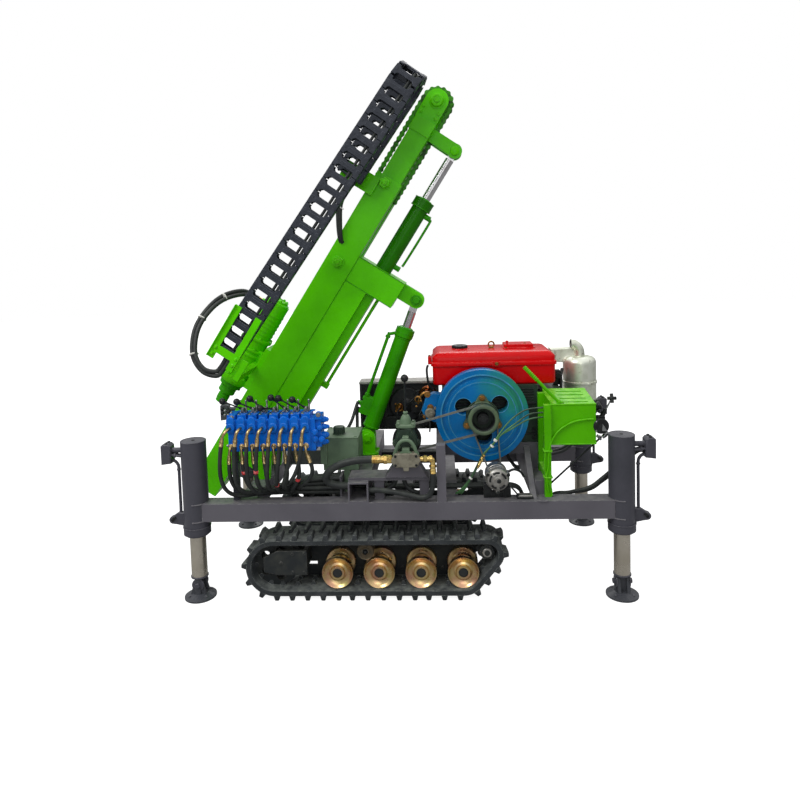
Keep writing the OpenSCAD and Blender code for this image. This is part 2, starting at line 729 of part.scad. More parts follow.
hose_r = 10;
bundle = [-330 - seat, -384, 506];
module valve_hoses() {
    color(black) for (i = [0:ports - 1], j = [0, 1]) {
        a = [port_x0 + port_gap * i, valve_y0 - port_out[j] - seat, port_zs[j] - 52 - seat];
        b = bundle + [0, 10 * (ports - 1 - i), 24 * (i % 2) + 48 * j];
        hose(route(a, [0, 0, -190 - 130 * j], b, [-200, 0, 0], 9), hose_r);
    }
}

// Suction hose loops back into the stub tube's left wall, pressure hose sags to its right wall
module deck_hoses() {
    color(black) {
        a = [pump_x - 166 - seat, pump_fit_y, gear_pump_z];
        b = [stub_x - seat, -440, 558];
        hose(route(a, [-230, 0, 0], b, [-200, 0, 0], 16), 18, [0, 0, 1]);
        c = [elbow_x, pump_fit_y, gear_pump_z - 62 - seat];
        d = [stub_x + stub_w + seat, -462, 545];
        hose(route(c, [0, 0, -210], d, [230, 0, 0], 16), 13);
    }
}

// Control box on its two posts
panel_x = [rear_x[1] + 20, jack_x - 115];
post_x = [panel_x[0] - 33, panel_x[0] - 1];
panel_y = [-420, -180];
panel_z0 = 745;
module control_box() {
    color(green) {
        difference() {
            translate([panel_x[0], 0, 0]) rotate([90, 0, 90]) linear_extrude(panel_x[1] - panel_x[0])
                polygon([[panel_y[0], panel_z0], [panel_y[1], panel_z0], [panel_y[1], 974], [panel_y[0], 945]]);
            for (k = [0:3]) block([panel_x[0] + 60, panel_x[1] - 30], [-395 + 52 * k, -383 + 52 * k], [900, 990]);
        }
        block(post_x, [-436, -404], [deck_top, 945]);
        block(post_x, [-250, -218], [rear_top + seat, 965]);
        block(post_x, [-405, -249], [rear_top + 20, rear_top + 50]);
        block([post_x[1] - 1, panel_x[0] + 1], [-436, -404], [760, 900]);
        block([post_x[1] - 1, panel_x[0] + 1], [-250, -218], [780, 930]);
        translate([panel_x[0] + 43, -400, 952]) rotate([0, -43, 0]) cylinder(r = 8, h = 240, $fn = 24);
    }
}

module box_levers() {
    color(black) translate([panel_x[1] + seat, 0, 0]) {
        translate([0, -380, 828]) rotate([0, 90, 0]) cylinder(r = 38, h = 40, $fn = 48);
        translate([0, -300, 890]) rotate([0, 90, 0]) cylinder(r = 26, h = 62, $fn = 48);
        translate([40, -372, 840]) rotate([0, 40, 0]) cylinder(r = 6, h = 120, $fn = 24);
    }
}

// Tilt cylinder
module cylinder_bracket() {
    y = eye_half + side_gap;
    both_sides() plate([y, y + clevis_t]) union() {
        translate([base_x, base_z]) circle(r = clevis_r, $fn = 64);
        translate([base_x - clevis_r, deck_top + stub_w]) square([2 * clevis_r, base_z - deck_top - stub_w]);
    }
    disc(base_x, base_z, 18, [-y - clevis_t - 8, y + clevis_t + 8]);
}

module tilt_frame() {
    translate([base_x, 0, base_z]) rotate([0, tilt_angle, 0]) children();
}
gland_h = 46;
module tilt_barrel() {
    color(green) tilt_frame() difference() {
        union() {
            rotate([90, 0, 0]) cylinder(r = eye_r, h = 2 * eye_half, center = true, $fn = 64);
            block([-30, 30], [-eye_half, eye_half], [0, 56]);
            translate([0, 0, 54]) cylinder(r = tilt_barrel_r, h = tilt_barrel_len - 54, $fn = 64);
            translate([0, 0, tilt_barrel_len - gland_h]) cylinder(r = tilt_barrel_r + 7, h = gland_h, $fn = 64);
            block([-92, -tilt_barrel_r + 8], [-26, 26], [112, 212]);
            translate([-80, 0, 210]) cylinder(r = 9, h = tilt_barrel_len - 260, $fn = 24);
            translate([-80, 0, tilt_barrel_len - 60]) rotate([0, 60, 0]) cylinder(r = 9, h = 45, $fn = 24);
        }
        rotate([90, 0, 0]) cylinder(r = 18 + pin_gap, h = 200, center = true, $fn = 48);
        translate([0, 0, 80]) cylinder(r = tilt_rod_r + 12, h = tilt_barrel_len - gland_h - 80, $fn = 64);
        translate([0, 0, 80]) cylinder(r = tilt_rod_r + pin_gap, h = tilt_barrel_len, $fn = 64);
    }
}

tilt_rod_z0 = 260;
module tilt_rod() {
    color(steel) tilt_frame() {
        translate([0, 0, tilt_rod_z0]) cylinder(r = tilt_rod_r, h = tilt_len - tilt_rod_z0 - 68, $fn = 64);
        block([-22, 22], [-21, 21], [tilt_len - 69, tilt_len]);
        translate([0, 0, tilt_len]) rotate([90, 0, 0]) cylinder(r = eye_r, h = 2 * eye_half, center = true, $fn = 64);
    }
}

// Cradle: the fixed box behind the mast with its cross box and guide rail
rail_u0 = 300;
spine_w = -934;
pipe_w = -911;
module cradle() {
    color(green) leaning() {
        difference() {
            union() {
                block([cradle_front, cradle_back], [-mast_w / 2, mast_w / 2], [-10, box_u0]);
                block([cradle_back - 1, spine_w], [-60, 60], [110, box_u0 + 1]);
                block([cradle_front, box_w1], [-mast_w / 2, mast_w / 2], [box_u0 - 1, box_u1]);
                block([mast_back - mast_t - 11, cradle_front + 1], [-22, 22], [rail_u0, box_u1]);
                block([mast_back - mast_t - 11, mast_back - mast_t - slide_gap], [-45, 45], [rail_u0, box_u1]);
            }
            for (s = [-1, 1]) block([cradle_front - 1, cradle_front + 7],
                s > 0 ? [mast_w / 2 - 7, mast_w / 2 + 1] : [-mast_w / 2 - 1, 7 - mast_w / 2], [-11, box_u1 + 1]);
            translate([pivot_w, 0, pivot_u]) rotate([90, 0, 0])
                cylinder(r = pivot_r + pin_gap, h = 400, center = true, $fn = 64);
        }
        clevis();
        translate([pipe_w, 0, 560]) cylinder(r = 9, h = box_u0 - 559, $fn = 24);
        block([cradle_back - 1, pipe_w + 15], [-14, 14], [560, 590]);
    }
}
module clevis() {
    for (s = [-1, 1]) {
        y = eye_half + side_gap;
        plate(s > 0 ? [y, y + clevis_t] : [-y - clevis_t, -y]) union() {
            translate([eye_w, eye_u]) circle(r = clevis_r, $fn = 64);
            translate([box_w1 - 1, eye_u - clevis_r]) square([eye_w - box_w1 + 1, 2 * clevis_r]);
        }
        translate([eye_w, s * (y + clevis_t + 4), eye_u]) rotate([90, 0, 0]) cylinder(r = 22, h = 10, center = true, $fn = 48);
    }
}

module slide_barrel() {
    color(green) leaning() translate([slide_w, 0, 0]) difference() {
        union() {
            translate([0, 0, box_u1]) cylinder(r = slide_barrel_r, h = slide_u1 - box_u1, $fn = 64);
            translate([0, 0, slide_u1 - 50]) cylinder(r = slide_barrel_r + 10, h = 50, $fn = 64);
        }
        translate([0, 0, box_u1 + 8]) cylinder(r = slide_rod_r + 12, h = slide_u1 - box_u1 - 58, $fn = 64);
        translate([0, 0, box_u1 + 8]) cylinder(r = slide_rod_r + pin_gap, h = 600, $fn = 64);
    }
}

module slide_rod() {
    color(steel) leaning() {
        translate([slide_w, 0, slide_rod_u0]) cylinder(r = slide_rod_r, h = slide_pin_u - slide_rod_u0 - 50, $fn = 64);
        block([slide_w - 20, slide_w + 20], [-19, 19], [slide_pin_u - 51, slide_pin_u - 25]);
        translate([slide_w, 0, slide_pin_u]) rotate([90, 0, 0]) difference() {
            cylinder(r = 34, h = 40, center = true, $fn = 64);
            cylinder(r = 16 + seat, h = 60, center = true, $fn = 48);
        }
    }
}

// Mast: slotted lower box, narrow neck tube, head cheeks
front_slot = 38;
back_slot = 28;
neck_y = 98;
neck_front = -1236;
neck_back = -1122;
neck_u0 = 1600;
cheek_y = 62;
cheek_t = 12;
cheek_r = 62;
module mast() {
    color(green) leaning() {
        difference() {
            block([mast_front, mast_back], [-mast_w / 2, mast_w / 2], [mast_u0, mast_u1]);
            block([mast_front + mast_t, mast_back - mast_t], [-mast_w / 2 + mast_t, mast_w / 2 - mast_t],
                [mast_u0 + 10, mast_u1 + 1]);
            block([mast_front - 1, mast_front + mast_t + 1], [-front_slot, front_slot], [mast_u0 + 60, mast_u1 + 1]);
            block([mast_back - mast_t - 1, mast_back + 1], [-back_slot, back_slot], [mast_u0 + 60, mast_u1 + 1]);
        }
        block([neck_front, neck_back], [-mast_w / 2 + mast_t, mast_w / 2 - mast_t], [neck_u0, mast_u1]);
        block([neck_front, neck_back], [-neck_y, neck_y], [mast_u1 - 1, neck_u1]);
        block([neck_front - 6, neck_back], [-neck_y - 6, neck_y + 6], [neck_u1 - 80, neck_u1 - 1]);
        for (s = [-1, 1]) plate(s > 0 ? [cheek_y, cheek_y + cheek_t] : [-cheek_y - cheek_t, -cheek_y]) union() {
            translate([head_w, head_u]) circle(r = cheek_r, $fn = 64);
            translate([head_w - cheek_r, neck_u1 - 1]) square([cheek_r + neck_back - head_w - 3, head_u - neck_u1 + 1]);
        }
        for (s = [-1, 1]) translate([head_w, s * (cheek_y + cheek_t + 7), head_u]) rotate([90, 0, 0])
            cylinder(r = 28, h = 16, center = true, $fn = 48);
        translate([head_w, 0, head_u]) rotate([90, 0, 0]) cylinder(r = head_pin_r, h = 2 * cheek_y + 2, center = true, $fn = 48);
        for (u = [1211, 1695], s = [-1, 1]) translate([-1194, s * (mast_w / 2 + 11), u]) rotate([90, 0, 0])
            cylinder(r = 22, h = 24, center = true, $fn = 48);
        slide_arm();
        chain_bracket();
    }
}
module slide_arm() {
    for (s = [-1, 1]) plate(s > 0 ? [20 + side_gap, 38] : [-38, -20 - side_gap]) union() {
        translate([slide_w, slide_pin_u]) circle(r = 40, $fn = 64);
        polygon([[neck_back - 1, 2080], [neck_back - 1, 2010], [slide_w - 20, slide_pin_u - 34],
            [slide_w + 6, slide_pin_u + 38]]);
    }
    translate([slide_w, 0, slide_pin_u]) rotate([90, 0, 0]) cylinder(r = 16, h = 92, center = true, $fn = 48);
}
module chain_bracket() {
    block([-1420, -1222], [far_run[1] + seat, far_run[1] + 10], [1600, 1700]);
    block([mast_front, -1222], [far_run[1] + 9, -mast_w / 2 + 1], [1600, 1700]);
}

// Feed chain: a bead outline along the strands and round the head sprocket
chain_half = 14;
bead_pitch = 38;
front_u0 = 1715;
back_u0 = 1620;
module feed_chain() {
    r = head_r;
    color([0.16, 0.24, 0.12]) leaning() plate([-chain_half, chain_half]) union() {
        for (k = [0:8]) translate([head_w, head_u]) rotate(k * 22.5) translate([r, 0]) circle(r = chain_plate, $fn = 12);
        difference() {
            translate([head_w, head_u]) circle(r = r + 7, $fn = 64);
            translate([head_w, head_u]) circle(r = head_pin_r + seat, $fn = 48);
        }
        for (s = [-1, 1]) {
            low = s < 0 ? front_u0 : back_u0;
            translate([head_w + s * r - 7, low]) square([14, head_u - low]);
            for (k = [0:floor((head_u - low) / bead_pitch)])
                translate([head_w + s * r, head_u - bead_pitch * k]) circle(r = chain_plate, $fn = 12);
        }
    }
}

// Carriage and drill head
carriage_u0 = 350;
carriage_u1 = 600;
plate_w = [mast_front - 28, mast_front - 14];
module carriage() {
    color(green) leaning() difference() {
        union() {
            block(plate_w, [-100, 100], [carriage_u0, carriage_u1]);
            for (s = [-1, 1]) {
                y0 = front_slot + 6;
                block([plate_w[1] - 1, mast_front - slide_gap], s > 0 ? [y0, 100] : [-100, -y0], [carriage_u0, carriage_u1]);
                block([plate_w[1] - 1, mast_front + mast_t + 11], s > 0 ? [22, 33] : [-33, -22], [carriage_u0, carriage_u1]);
                block([mast_front + mast_t + slide_gap, mast_front + mast_t + 11], s > 0 ? [22, 66] : [-66, -22],
                    [carriage_u0, carriage_u1]);
            }
            block([axis_w + 30, plate_w[0] + 1], [-52, 52], [400, 560]);
            head_arm();
        }
        head_stack(seat);
    }
}
near_run = [-360, -310];
far_run = [-190, -140];
strap_u = [520, 560];
arm_u = [448, 490];
bar_w = [-1491, -1371];
bar_wide = 36;
bar_u = [[484, 783], [472, 778]];
module head_arm() {
    block([axis_w + 60, axis_w + 90], [near_run[0] - 10, -50], arm_u);
    bar_y = [near_run[0] - 10, near_run[0] - seat];
    for (k = [0, 1]) block([bar_w[k], bar_w[k] + bar_wide], bar_y, bar_u[k]);
    block([bar_w[0], axis_w + 90], bar_y, strap_u);
    block([axis_w + 60, axis_w + 90], bar_y, [arm_u[0], strap_u[1]]);
}

head_u0 = 318;
port_ys = [-24, 24];
port_u = 790;
// Motor and gearbox: steps of [radius, lower end, upper end] along the drill axis
head_steps = [[70, head_u0, 336], [gearbox_r, 335, 372], [80, 371, 506], [84, 505, 518], [76, 517, 536],
    [84, 535, 548], [72, 547, 601], [81, 600, 616], [motor_r, 615, 829], [50, 828, 850]];
module head_stack(grow) {
    translate([axis_w, 0, 0]) for (s = head_steps)
        translate([0, 0, s[1] - grow]) cylinder(r = s[0] + grow, h = s[2] - s[1] + 2 * grow, $fn = 64);
}
module head_motor() {
    color(green) leaning() {
        head_stack(0);
        for (y = port_ys) translate([axis_w - motor_r - 10, y, port_u]) rotate([0, 90, 0]) cylinder(r = 15, h = 40, $fn = 32);
    }
}

module spindle() {
    color(green) leaning() translate([axis_w, 0, 0]) difference() {
        rotate_extrude($fn = 64) polygon([[0, 180], [30, 180], [30, 236], [44, 244], [44, 288], [62, 292],
            [62, head_u0 - seat], [0, head_u0 - seat]]);
        translate([0, 0, 179]) cylinder(r = spindle_bore_r, h = 61, $fn = 48);
    }
}

// Drag chain: near run, bend at the top and far run, in one slightly tilted frame
link = 74;
chain_w = 148;
rail_w = 26;
run_u0 = 514;
run_w0 = -1417;
run_tilt = 2.6;
near_links = 22;
far_links = 7;
bar_t = 7;
bar_len = 30;
bend_y = (near_run[1] + far_run[0]) / 2;
bend_r = bend_y - near_run[0];
module ladder(n, y) {
    for (s = [-1, 1]) block(s > 0 ? [chain_w / 2 - rail_w, chain_w / 2] : [-chain_w / 2, -chain_w / 2 + rail_w],
        y, [0, n * link]);
    for (k = [0:n - 1], f = [0, 1])
        block([-chain_w / 2 + 1, chain_w / 2 - 1], f > 0 ? [y[0], y[0] + bar_t] : [y[1] - bar_t, y[1]],
            [k * link + 22, k * link + 22 + bar_len]);
}
module drag_chain() {
    color(black) leaning() translate([run_w0, 0, run_u0]) rotate([0, run_tilt, 0]) {
        ladder(near_links, near_run);
        translate([0, 0, (near_links - far_links) * link]) ladder(far_links, far_run);
        translate([0, bend_y, near_links * link]) rotate([0, 90, 0]) rotate([0, 0, 90]) {
            for (s = [-1, 1]) translate([0, 0, s > 0 ? chain_w / 2 - rail_w : -chain_w / 2])
                rotate_extrude(angle = 180, $fn = 64)
                    translate([bend_r - near_run[1] + near_run[0], 0]) square([near_run[1] - near_run[0], rail_w]);
            for (k = [0:3]) rotate([0, 0, 22.5 + 45 * k])
                block([bend_r - bar_t, bend_r], [-15, 15], [-chain_w / 2 + 1, chain_w / 2 - 1]);
        }
    }
}

module head_hoses() {
    color(black) for (k = [0, 1]) {
        a = [axis_w - motor_r - 10 - seat, port_ys[k], port_u];
        b = [run_w0 - 30 + 60 * k, bend_y - bend_r + 25, run_u0 - seat];
        line = route(a, [-250, 0, 0], b, [0, 0, -260], 14);
        hose([for (p = line) [p[0] * cos(lean) + p[2] * sin(lean), p[1], -p[0] * sin(lean) + p[2] * cos(lean)]], 13);
    }
}

deck_frame();
jack_tubes();
lock_valves();
jack_leg_fn();
jack_leg_ff();
jack_leg_rn();
jack_leg_rf();
track_frames();
cross_tubes();
track_near();
track_far();
track_rollers();
track_idlers();
track_sprockets();
mast_brackets();
engine_bed();
engine_block();
fuel_tank();
air_cleaner();
flywheel();
drive_pulley();
alternator();
alternator_pulley();
pump_drive();
pump_pulley();
gear_pump();
oil_cooler();
drive_belts();
oil_tank();
valve_block();
hand_levers();
port_fittings();
valve_hoses();
deck_hoses();
control_box();
box_levers();
tilt_barrel();
tilt_rod();
cradle();
slide_barrel();
mast();
slide_rod();
feed_chain();
carriage();
head_motor();
spindle();
drag_chain();
head_hoses();
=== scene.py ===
# Tracked pile driver and drill rig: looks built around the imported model, in metres, +X to the engine end.
import bmesh
import bpy
import numpy as np
from mathutils import Matrix, Vector


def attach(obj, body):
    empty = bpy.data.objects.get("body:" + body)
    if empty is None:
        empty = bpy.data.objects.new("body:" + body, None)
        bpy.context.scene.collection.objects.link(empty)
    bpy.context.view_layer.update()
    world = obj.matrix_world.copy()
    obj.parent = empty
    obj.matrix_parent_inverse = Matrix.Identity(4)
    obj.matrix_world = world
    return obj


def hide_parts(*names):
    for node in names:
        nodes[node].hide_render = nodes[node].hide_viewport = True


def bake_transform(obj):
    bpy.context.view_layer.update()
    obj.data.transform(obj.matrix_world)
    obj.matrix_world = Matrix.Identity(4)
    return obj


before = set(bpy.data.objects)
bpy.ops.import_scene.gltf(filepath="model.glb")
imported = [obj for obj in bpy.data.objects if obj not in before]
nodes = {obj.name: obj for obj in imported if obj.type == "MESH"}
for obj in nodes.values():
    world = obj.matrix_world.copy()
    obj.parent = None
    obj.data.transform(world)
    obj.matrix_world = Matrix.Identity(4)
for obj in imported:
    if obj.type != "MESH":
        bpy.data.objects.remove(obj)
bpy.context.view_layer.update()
mm = 0.001
leanAngle = np.radians(33.0)  # lean of the mast from upright
near = (0, -1, 0)  # towards the photographed side
print("frame loaded")

# Shapes: each is (points in mm, list of faces); the points come as whole arrays

def leaning(p):  # mast axes (w back, y across, u up the mast) turned into the machine's X, Y, Z
    p = np.asarray(p, float)
    c, s = np.cos(leanAngle), np.sin(leanAngle)
    return np.stack([p[..., 0] * c + p[..., 2] * s, p[..., 1], p[..., 2] * c - p[..., 0] * s], -1)


def gridShape(p, wrapRows=False, wrapColumns=False, capEnds=False):
    # a surface of two parameters: p[i, j] is the point at row i, column j; rows and columns may close
    p = np.asarray(p, float)
    rows, columns = p.shape[:2]
    i, j = np.meshgrid(np.arange(rows if wrapRows else rows - 1),
                       np.arange(columns if wrapColumns else columns - 1), indexing="ij")
    a, b = (i * columns + j).ravel(), (i * columns + (j + 1) % columns).ravel()
    c, d = ((i + 1) % rows * columns + (j + 1) % columns).ravel(), ((i + 1) % rows * columns + j).ravel()
    faces = np.stack([a, b, c, d], 1).tolist()
    if capEnds:
        faces += [list(range(columns))[::-1], [(rows - 1) * columns + k for k in range(columns)]]
    return p.reshape(-1, 3), faces


def join(*shapes):  # several shapes as one
    points, faces, count = [], [], 0
    for p, f in shapes:
        points.append(np.asarray(p, float))
        faces += [[k + count for k in q] for q in f]
        count += len(p)
    return np.concatenate(points), faces


def moved(shape, at=(0, 0, 0), axis=None, turn=0.0, scale=1.0):
    # shape scaled, its own Z turned to axis (after a turn about Z), then carried to at
    p = np.asarray(shape[0], float) * scale
    c, s = np.cos(turn), np.sin(turn)
    p = p @ np.array([[c, -s, 0], [s, c, 0], [0, 0, 1]]).T
    if axis is not None:
        p = p @ turnTo(axis).T
    return p + np.asarray(at, float), shape[1]


def turnTo(axis):  # rotation that takes +Z to the axis; a sideways vector near X fills the frame
    z = np.asarray(axis, float) / np.linalg.norm(axis)
    side = np.array([1.0, 0, 0]) if abs(z[0]) < 0.9 else np.array([0, 0, 1.0])
    x = side - z * (side @ z)
    x /= np.linalg.norm(x)
    return np.stack([x, np.cross(z, x), z], 1)


def turned(profile, sides=48, at=(0, 0, 0), axis=(0, 0, 1), ring=False):
    # profile of (radius, height) turned about an axis: x = r cos t, y = r sin t, z = h; r = 0 closes a pole,
    # and a ring's profile is closed on itself
    profile = np.asarray(profile, float)
    t = np.arange(sides) * 2 * np.pi / sides
    r, h = profile[:, :1], profile[:, 1:]
    p = np.stack([r * np.cos(t), r * np.sin(t), h + 0 * t], -1)
    return moved(gridShape(p, wrapRows=ring, wrapColumns=True), at, axis)


def rod(a, b, radius, sides=24):  # a closed straight cylinder from a to b
    a, b = np.asarray(a, float), np.asarray(b, float)
    length = np.linalg.norm(b - a)
    return turned([(0, 0), (radius, 0), (radius, length), (0, length)], sides, a, b - a)


def swept(path, radius, sides=14):
    # a round tube: each ring is the path's point + r (cos t n + sin t m), with n carried along without twist
    path = np.asarray(path, float)
    way = np.gradient(path, axis=0)
    way /= np.linalg.norm(way, axis=1, keepdims=True)
    n = np.cross(way[0], (0.1, 0.3, 0.94))
    n /= np.linalg.norm(n)
    normals = []
    for w in way:
        n = n - w * (n @ w)
        n /= np.linalg.norm(n)
        normals.append(n)
    normals = np.array(normals)
    side = np.cross(way, normals)
    t = np.arange(sides) * 2 * np.pi / sides
    radius = np.broadcast_to(np.asarray(radius, float), (len(path),))[:, None, None]
    rings = path[:, None] + radius * (np.cos(t)[None, :, None] * normals[:, None]
                                      + np.sin(t)[None, :, None] * side[:, None])
    return gridShape(rings, wrapColumns=True, capEnds=True)


def smoothPath(points, steps):  # a Catmull-Rom curve through the points, in even steps
    p = np.asarray(points, float)
    p = np.concatenate([[2 * p[0] - p[1]], p, [2 * p[-1] - p[-2]]])
    t = np.linspace(0, 1, steps, endpoint=False)[:, None]
    parts = [0.5 * (2 * b + (c - a) * t + (2 * a - 5 * b + 4 * c - d) * t ** 2 + (3 * b - a - 3 * c + d) * t ** 3)
             for a, b, c, d in zip(p, p[1:], p[2:], p[3:])]
    return np.concatenate(parts + [p[-2:-1]])


def cord(points, radius, sides=14, steps=8):  # a round cord or pipe on a smooth curve through the points
    return swept(smoothPath(points, steps), radius, sides)


def slab(outline, low, high, bevel=0.0):
    # an outline in a plane given a thickness along the third axis, with small chamfers on both rims
    q = np.asarray(outline, float)
    if ((q[:, 0] * np.roll(q[:, 1], -1) - q[:, 1] * np.roll(q[:, 0], -1)).sum()) < 0:
        q = q[::-1]
    if bevel:
        ahead, behind = np.roll(q, -1, 0) - q, q - np.roll(q, 1, 0)
        ahead = ahead / np.linalg.norm(ahead, axis=1, keepdims=True)
        behind = behind / np.linalg.norm(behind, axis=1, keepdims=True)
        inward = np.stack([-(ahead + behind)[:, 1], (ahead + behind)[:, 0]], 1)
        share = (ahead * behind).sum(1, keepdims=True)
        small = q + inward * bevel / np.maximum(1 + share, 0.3)
        rings = [(small, low), (q, low + bevel), (q, high - bevel), (small, high)]
    else:
        rings = [(q, low), (q, high)]
    p = np.array([np.column_stack([o, np.full(len(o), h)]) for o, h in rings])
    return gridShape(p, wrapColumns=True, capEnds=True)


def across(shape):  # a slab drawn in (X, Z) with its thickness along -Y, turned upright
    p = shape[0]
    return np.stack([p[:, 0], -p[:, 2], p[:, 1]], 1), shape[1]


def boxShape(x, y, z, bevel=2.0):
    return slab([(x[0], y[0]), (x[1], y[0]), (x[1], y[1]), (x[0], y[1])], z[0], z[1], bevel)


def roundOutline(x, y, radius, steps=6):  # a rectangle with round corners
    t = np.linspace(0, np.pi / 2, steps)
    corners = [(x[1] - radius, y[1] - radius, 0), (x[0] + radius, y[1] - radius, 1),
               (x[0] + radius, y[0] + radius, 2), (x[1] - radius, y[0] + radius, 3)]
    return np.concatenate([np.column_stack([cx + radius * np.cos(t + k * np.pi / 2),
                                            cy + radius * np.sin(t + k * np.pi / 2)]) for cx, cy, k in corners])


def hexagon(size):
    t = np.arange(6) * np.pi / 3
    return np.column_stack([np.cos(t), np.sin(t)]) * size


def boltHead(size, height=None, washer=True):  # chamfered hexagon on a washer; size is half its width over corners
    head = slab(hexagon(size), 0, height or size * 0.7, size * 0.1)
    rim = [(0, 0), (size * 1.35, 0), (size * 1.35, size * 0.18), (0, size * 0.18)]
    return join(head, turned(rim, 24)) if washer else head


def ball(radius, sides=24):  # x = r sin a cos t, z = -r cos a, poles closed
    a = np.linspace(0, np.pi, sides // 2 + 1)
    return turned(np.column_stack([radius * np.sin(a), -radius * np.cos(a)]), sides)


def nutOn(at, axis, size, height):
    return moved(boltHead(size, height, False), at, axis)


def addPiece(name, shape, finish, body="root", smoothAngle=38, replaces=()):
    # a mesh from the arrays, in metres, riding on its body; edges sharper than the angle stay crisp
    points, faces = shape
    mesh = bpy.data.meshes.new(name)
    mesh.from_pydata((np.asarray(points) * mm).tolist(), [], faces)
    mesh.validate()
    piece = bpy.data.objects.new(name, mesh)
    bpy.context.scene.collection.objects.link(piece)
    tidy = bmesh.new()
    tidy.from_mesh(mesh)
    bmesh.ops.remove_doubles(tidy, verts=tidy.verts, dist=2e-6)
    bmesh.ops.dissolve_degenerate(tidy, edges=tidy.edges, dist=1e-6)
    bmesh.ops.recalc_face_normals(tidy, faces=tidy.faces)
    tidy.to_mesh(mesh)
    tidy.free()
    mesh.shade_smooth()
    mesh.set_sharp_from_angle(angle=np.radians(smoothAngle))
    for each in (finish if isinstance(finish, (list, tuple)) else [finish]):
        mesh.materials.append(each)
    if isinstance(body, tuple):  # given two bodies with a start and an end point in mm, the piece is only baked in place: it rides on neither body and does not bend
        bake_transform(piece)
    else:
        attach(piece, body)
    if replaces:
        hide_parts(*replaces)
    return piece


def addNode(tree, kind, settings=(), links=()):  # one node with its settings and what feeds it
    node = tree.nodes.new(kind)
    for name, value in dict(settings).items():
        if isinstance(name, int) or name in node.inputs:
            node.inputs[name].default_value = value
        else:
            setattr(node, name, value)
    for name, source in dict(links).items():
        tree.links.new(source, node.inputs[name])
    return node

# Camera and light
photoCamera = {"place": (0.180, -3.522, 1.6634), "yaw": 0.050487, "pitch": 0.068397, "roll": -0.028871,
               "focalPixels": 641.06, "centrePixel": (404.68, 304.18), "imagePixels": 800, "sensor": 36.0}


def placeCamera(look):
    # rows of turn are right, down and forward of a view that starts along +Y
    cy, sy = np.cos(look["yaw"]), np.sin(look["yaw"])
    cp, sp = np.cos(look["pitch"]), np.sin(look["pitch"])
    cr, sr = np.cos(look["roll"]), np.sin(look["roll"])
    level = np.array([[1, 0, 0], [0, 0, -1], [0, 1, 0]], float)
    turn = (np.array([[cr, -sr, 0], [sr, cr, 0], [0, 0, 1]]) @ np.array([[1, 0, 0], [0, cp, -sp], [0, sp, cp]])
            @ np.array([[cy, 0, sy], [0, 1, 0], [-sy, 0, cy]]) @ level)
    lens = bpy.data.cameras.new("photoCamera")
    camera = bpy.data.objects.new("photoCamera", lens)
    bpy.context.scene.collection.objects.link(camera)
    matrix = Matrix.Identity(4)
    for row in range(3):
        matrix[row][0], matrix[row][1], matrix[row][2] = turn[0][row], -turn[1][row], -turn[2][row]
        matrix[row][3] = look["place"][row]
    camera.matrix_world = matrix
    half = look["imagePixels"] / 2
    lens.sensor_width = look["sensor"]
    lens.lens = look["focalPixels"] * look["sensor"] / look["imagePixels"]
    lens.shift_x = (half - look["centrePixel"][0]) / look["imagePixels"]
    lens.shift_y = (look["centrePixel"][1] - half) / look["imagePixels"]
    lens.clip_start, lens.clip_end = 0.05, 60
    bpy.context.scene.camera = camera

studio = {"horizon": 0.16, "zenith": 1.05, "floorColour": 0.34, "floorLift": 0.92,
          "lamps": [("keyLamp", (-2.8, -3.0, 4.8), 2.6, 105), ("frontFill", (0.4, -5.4, 2.6), 3.0, 30),
                    ("backTop", (0.6, 3.4, 4.2), 3.0, 60)]}


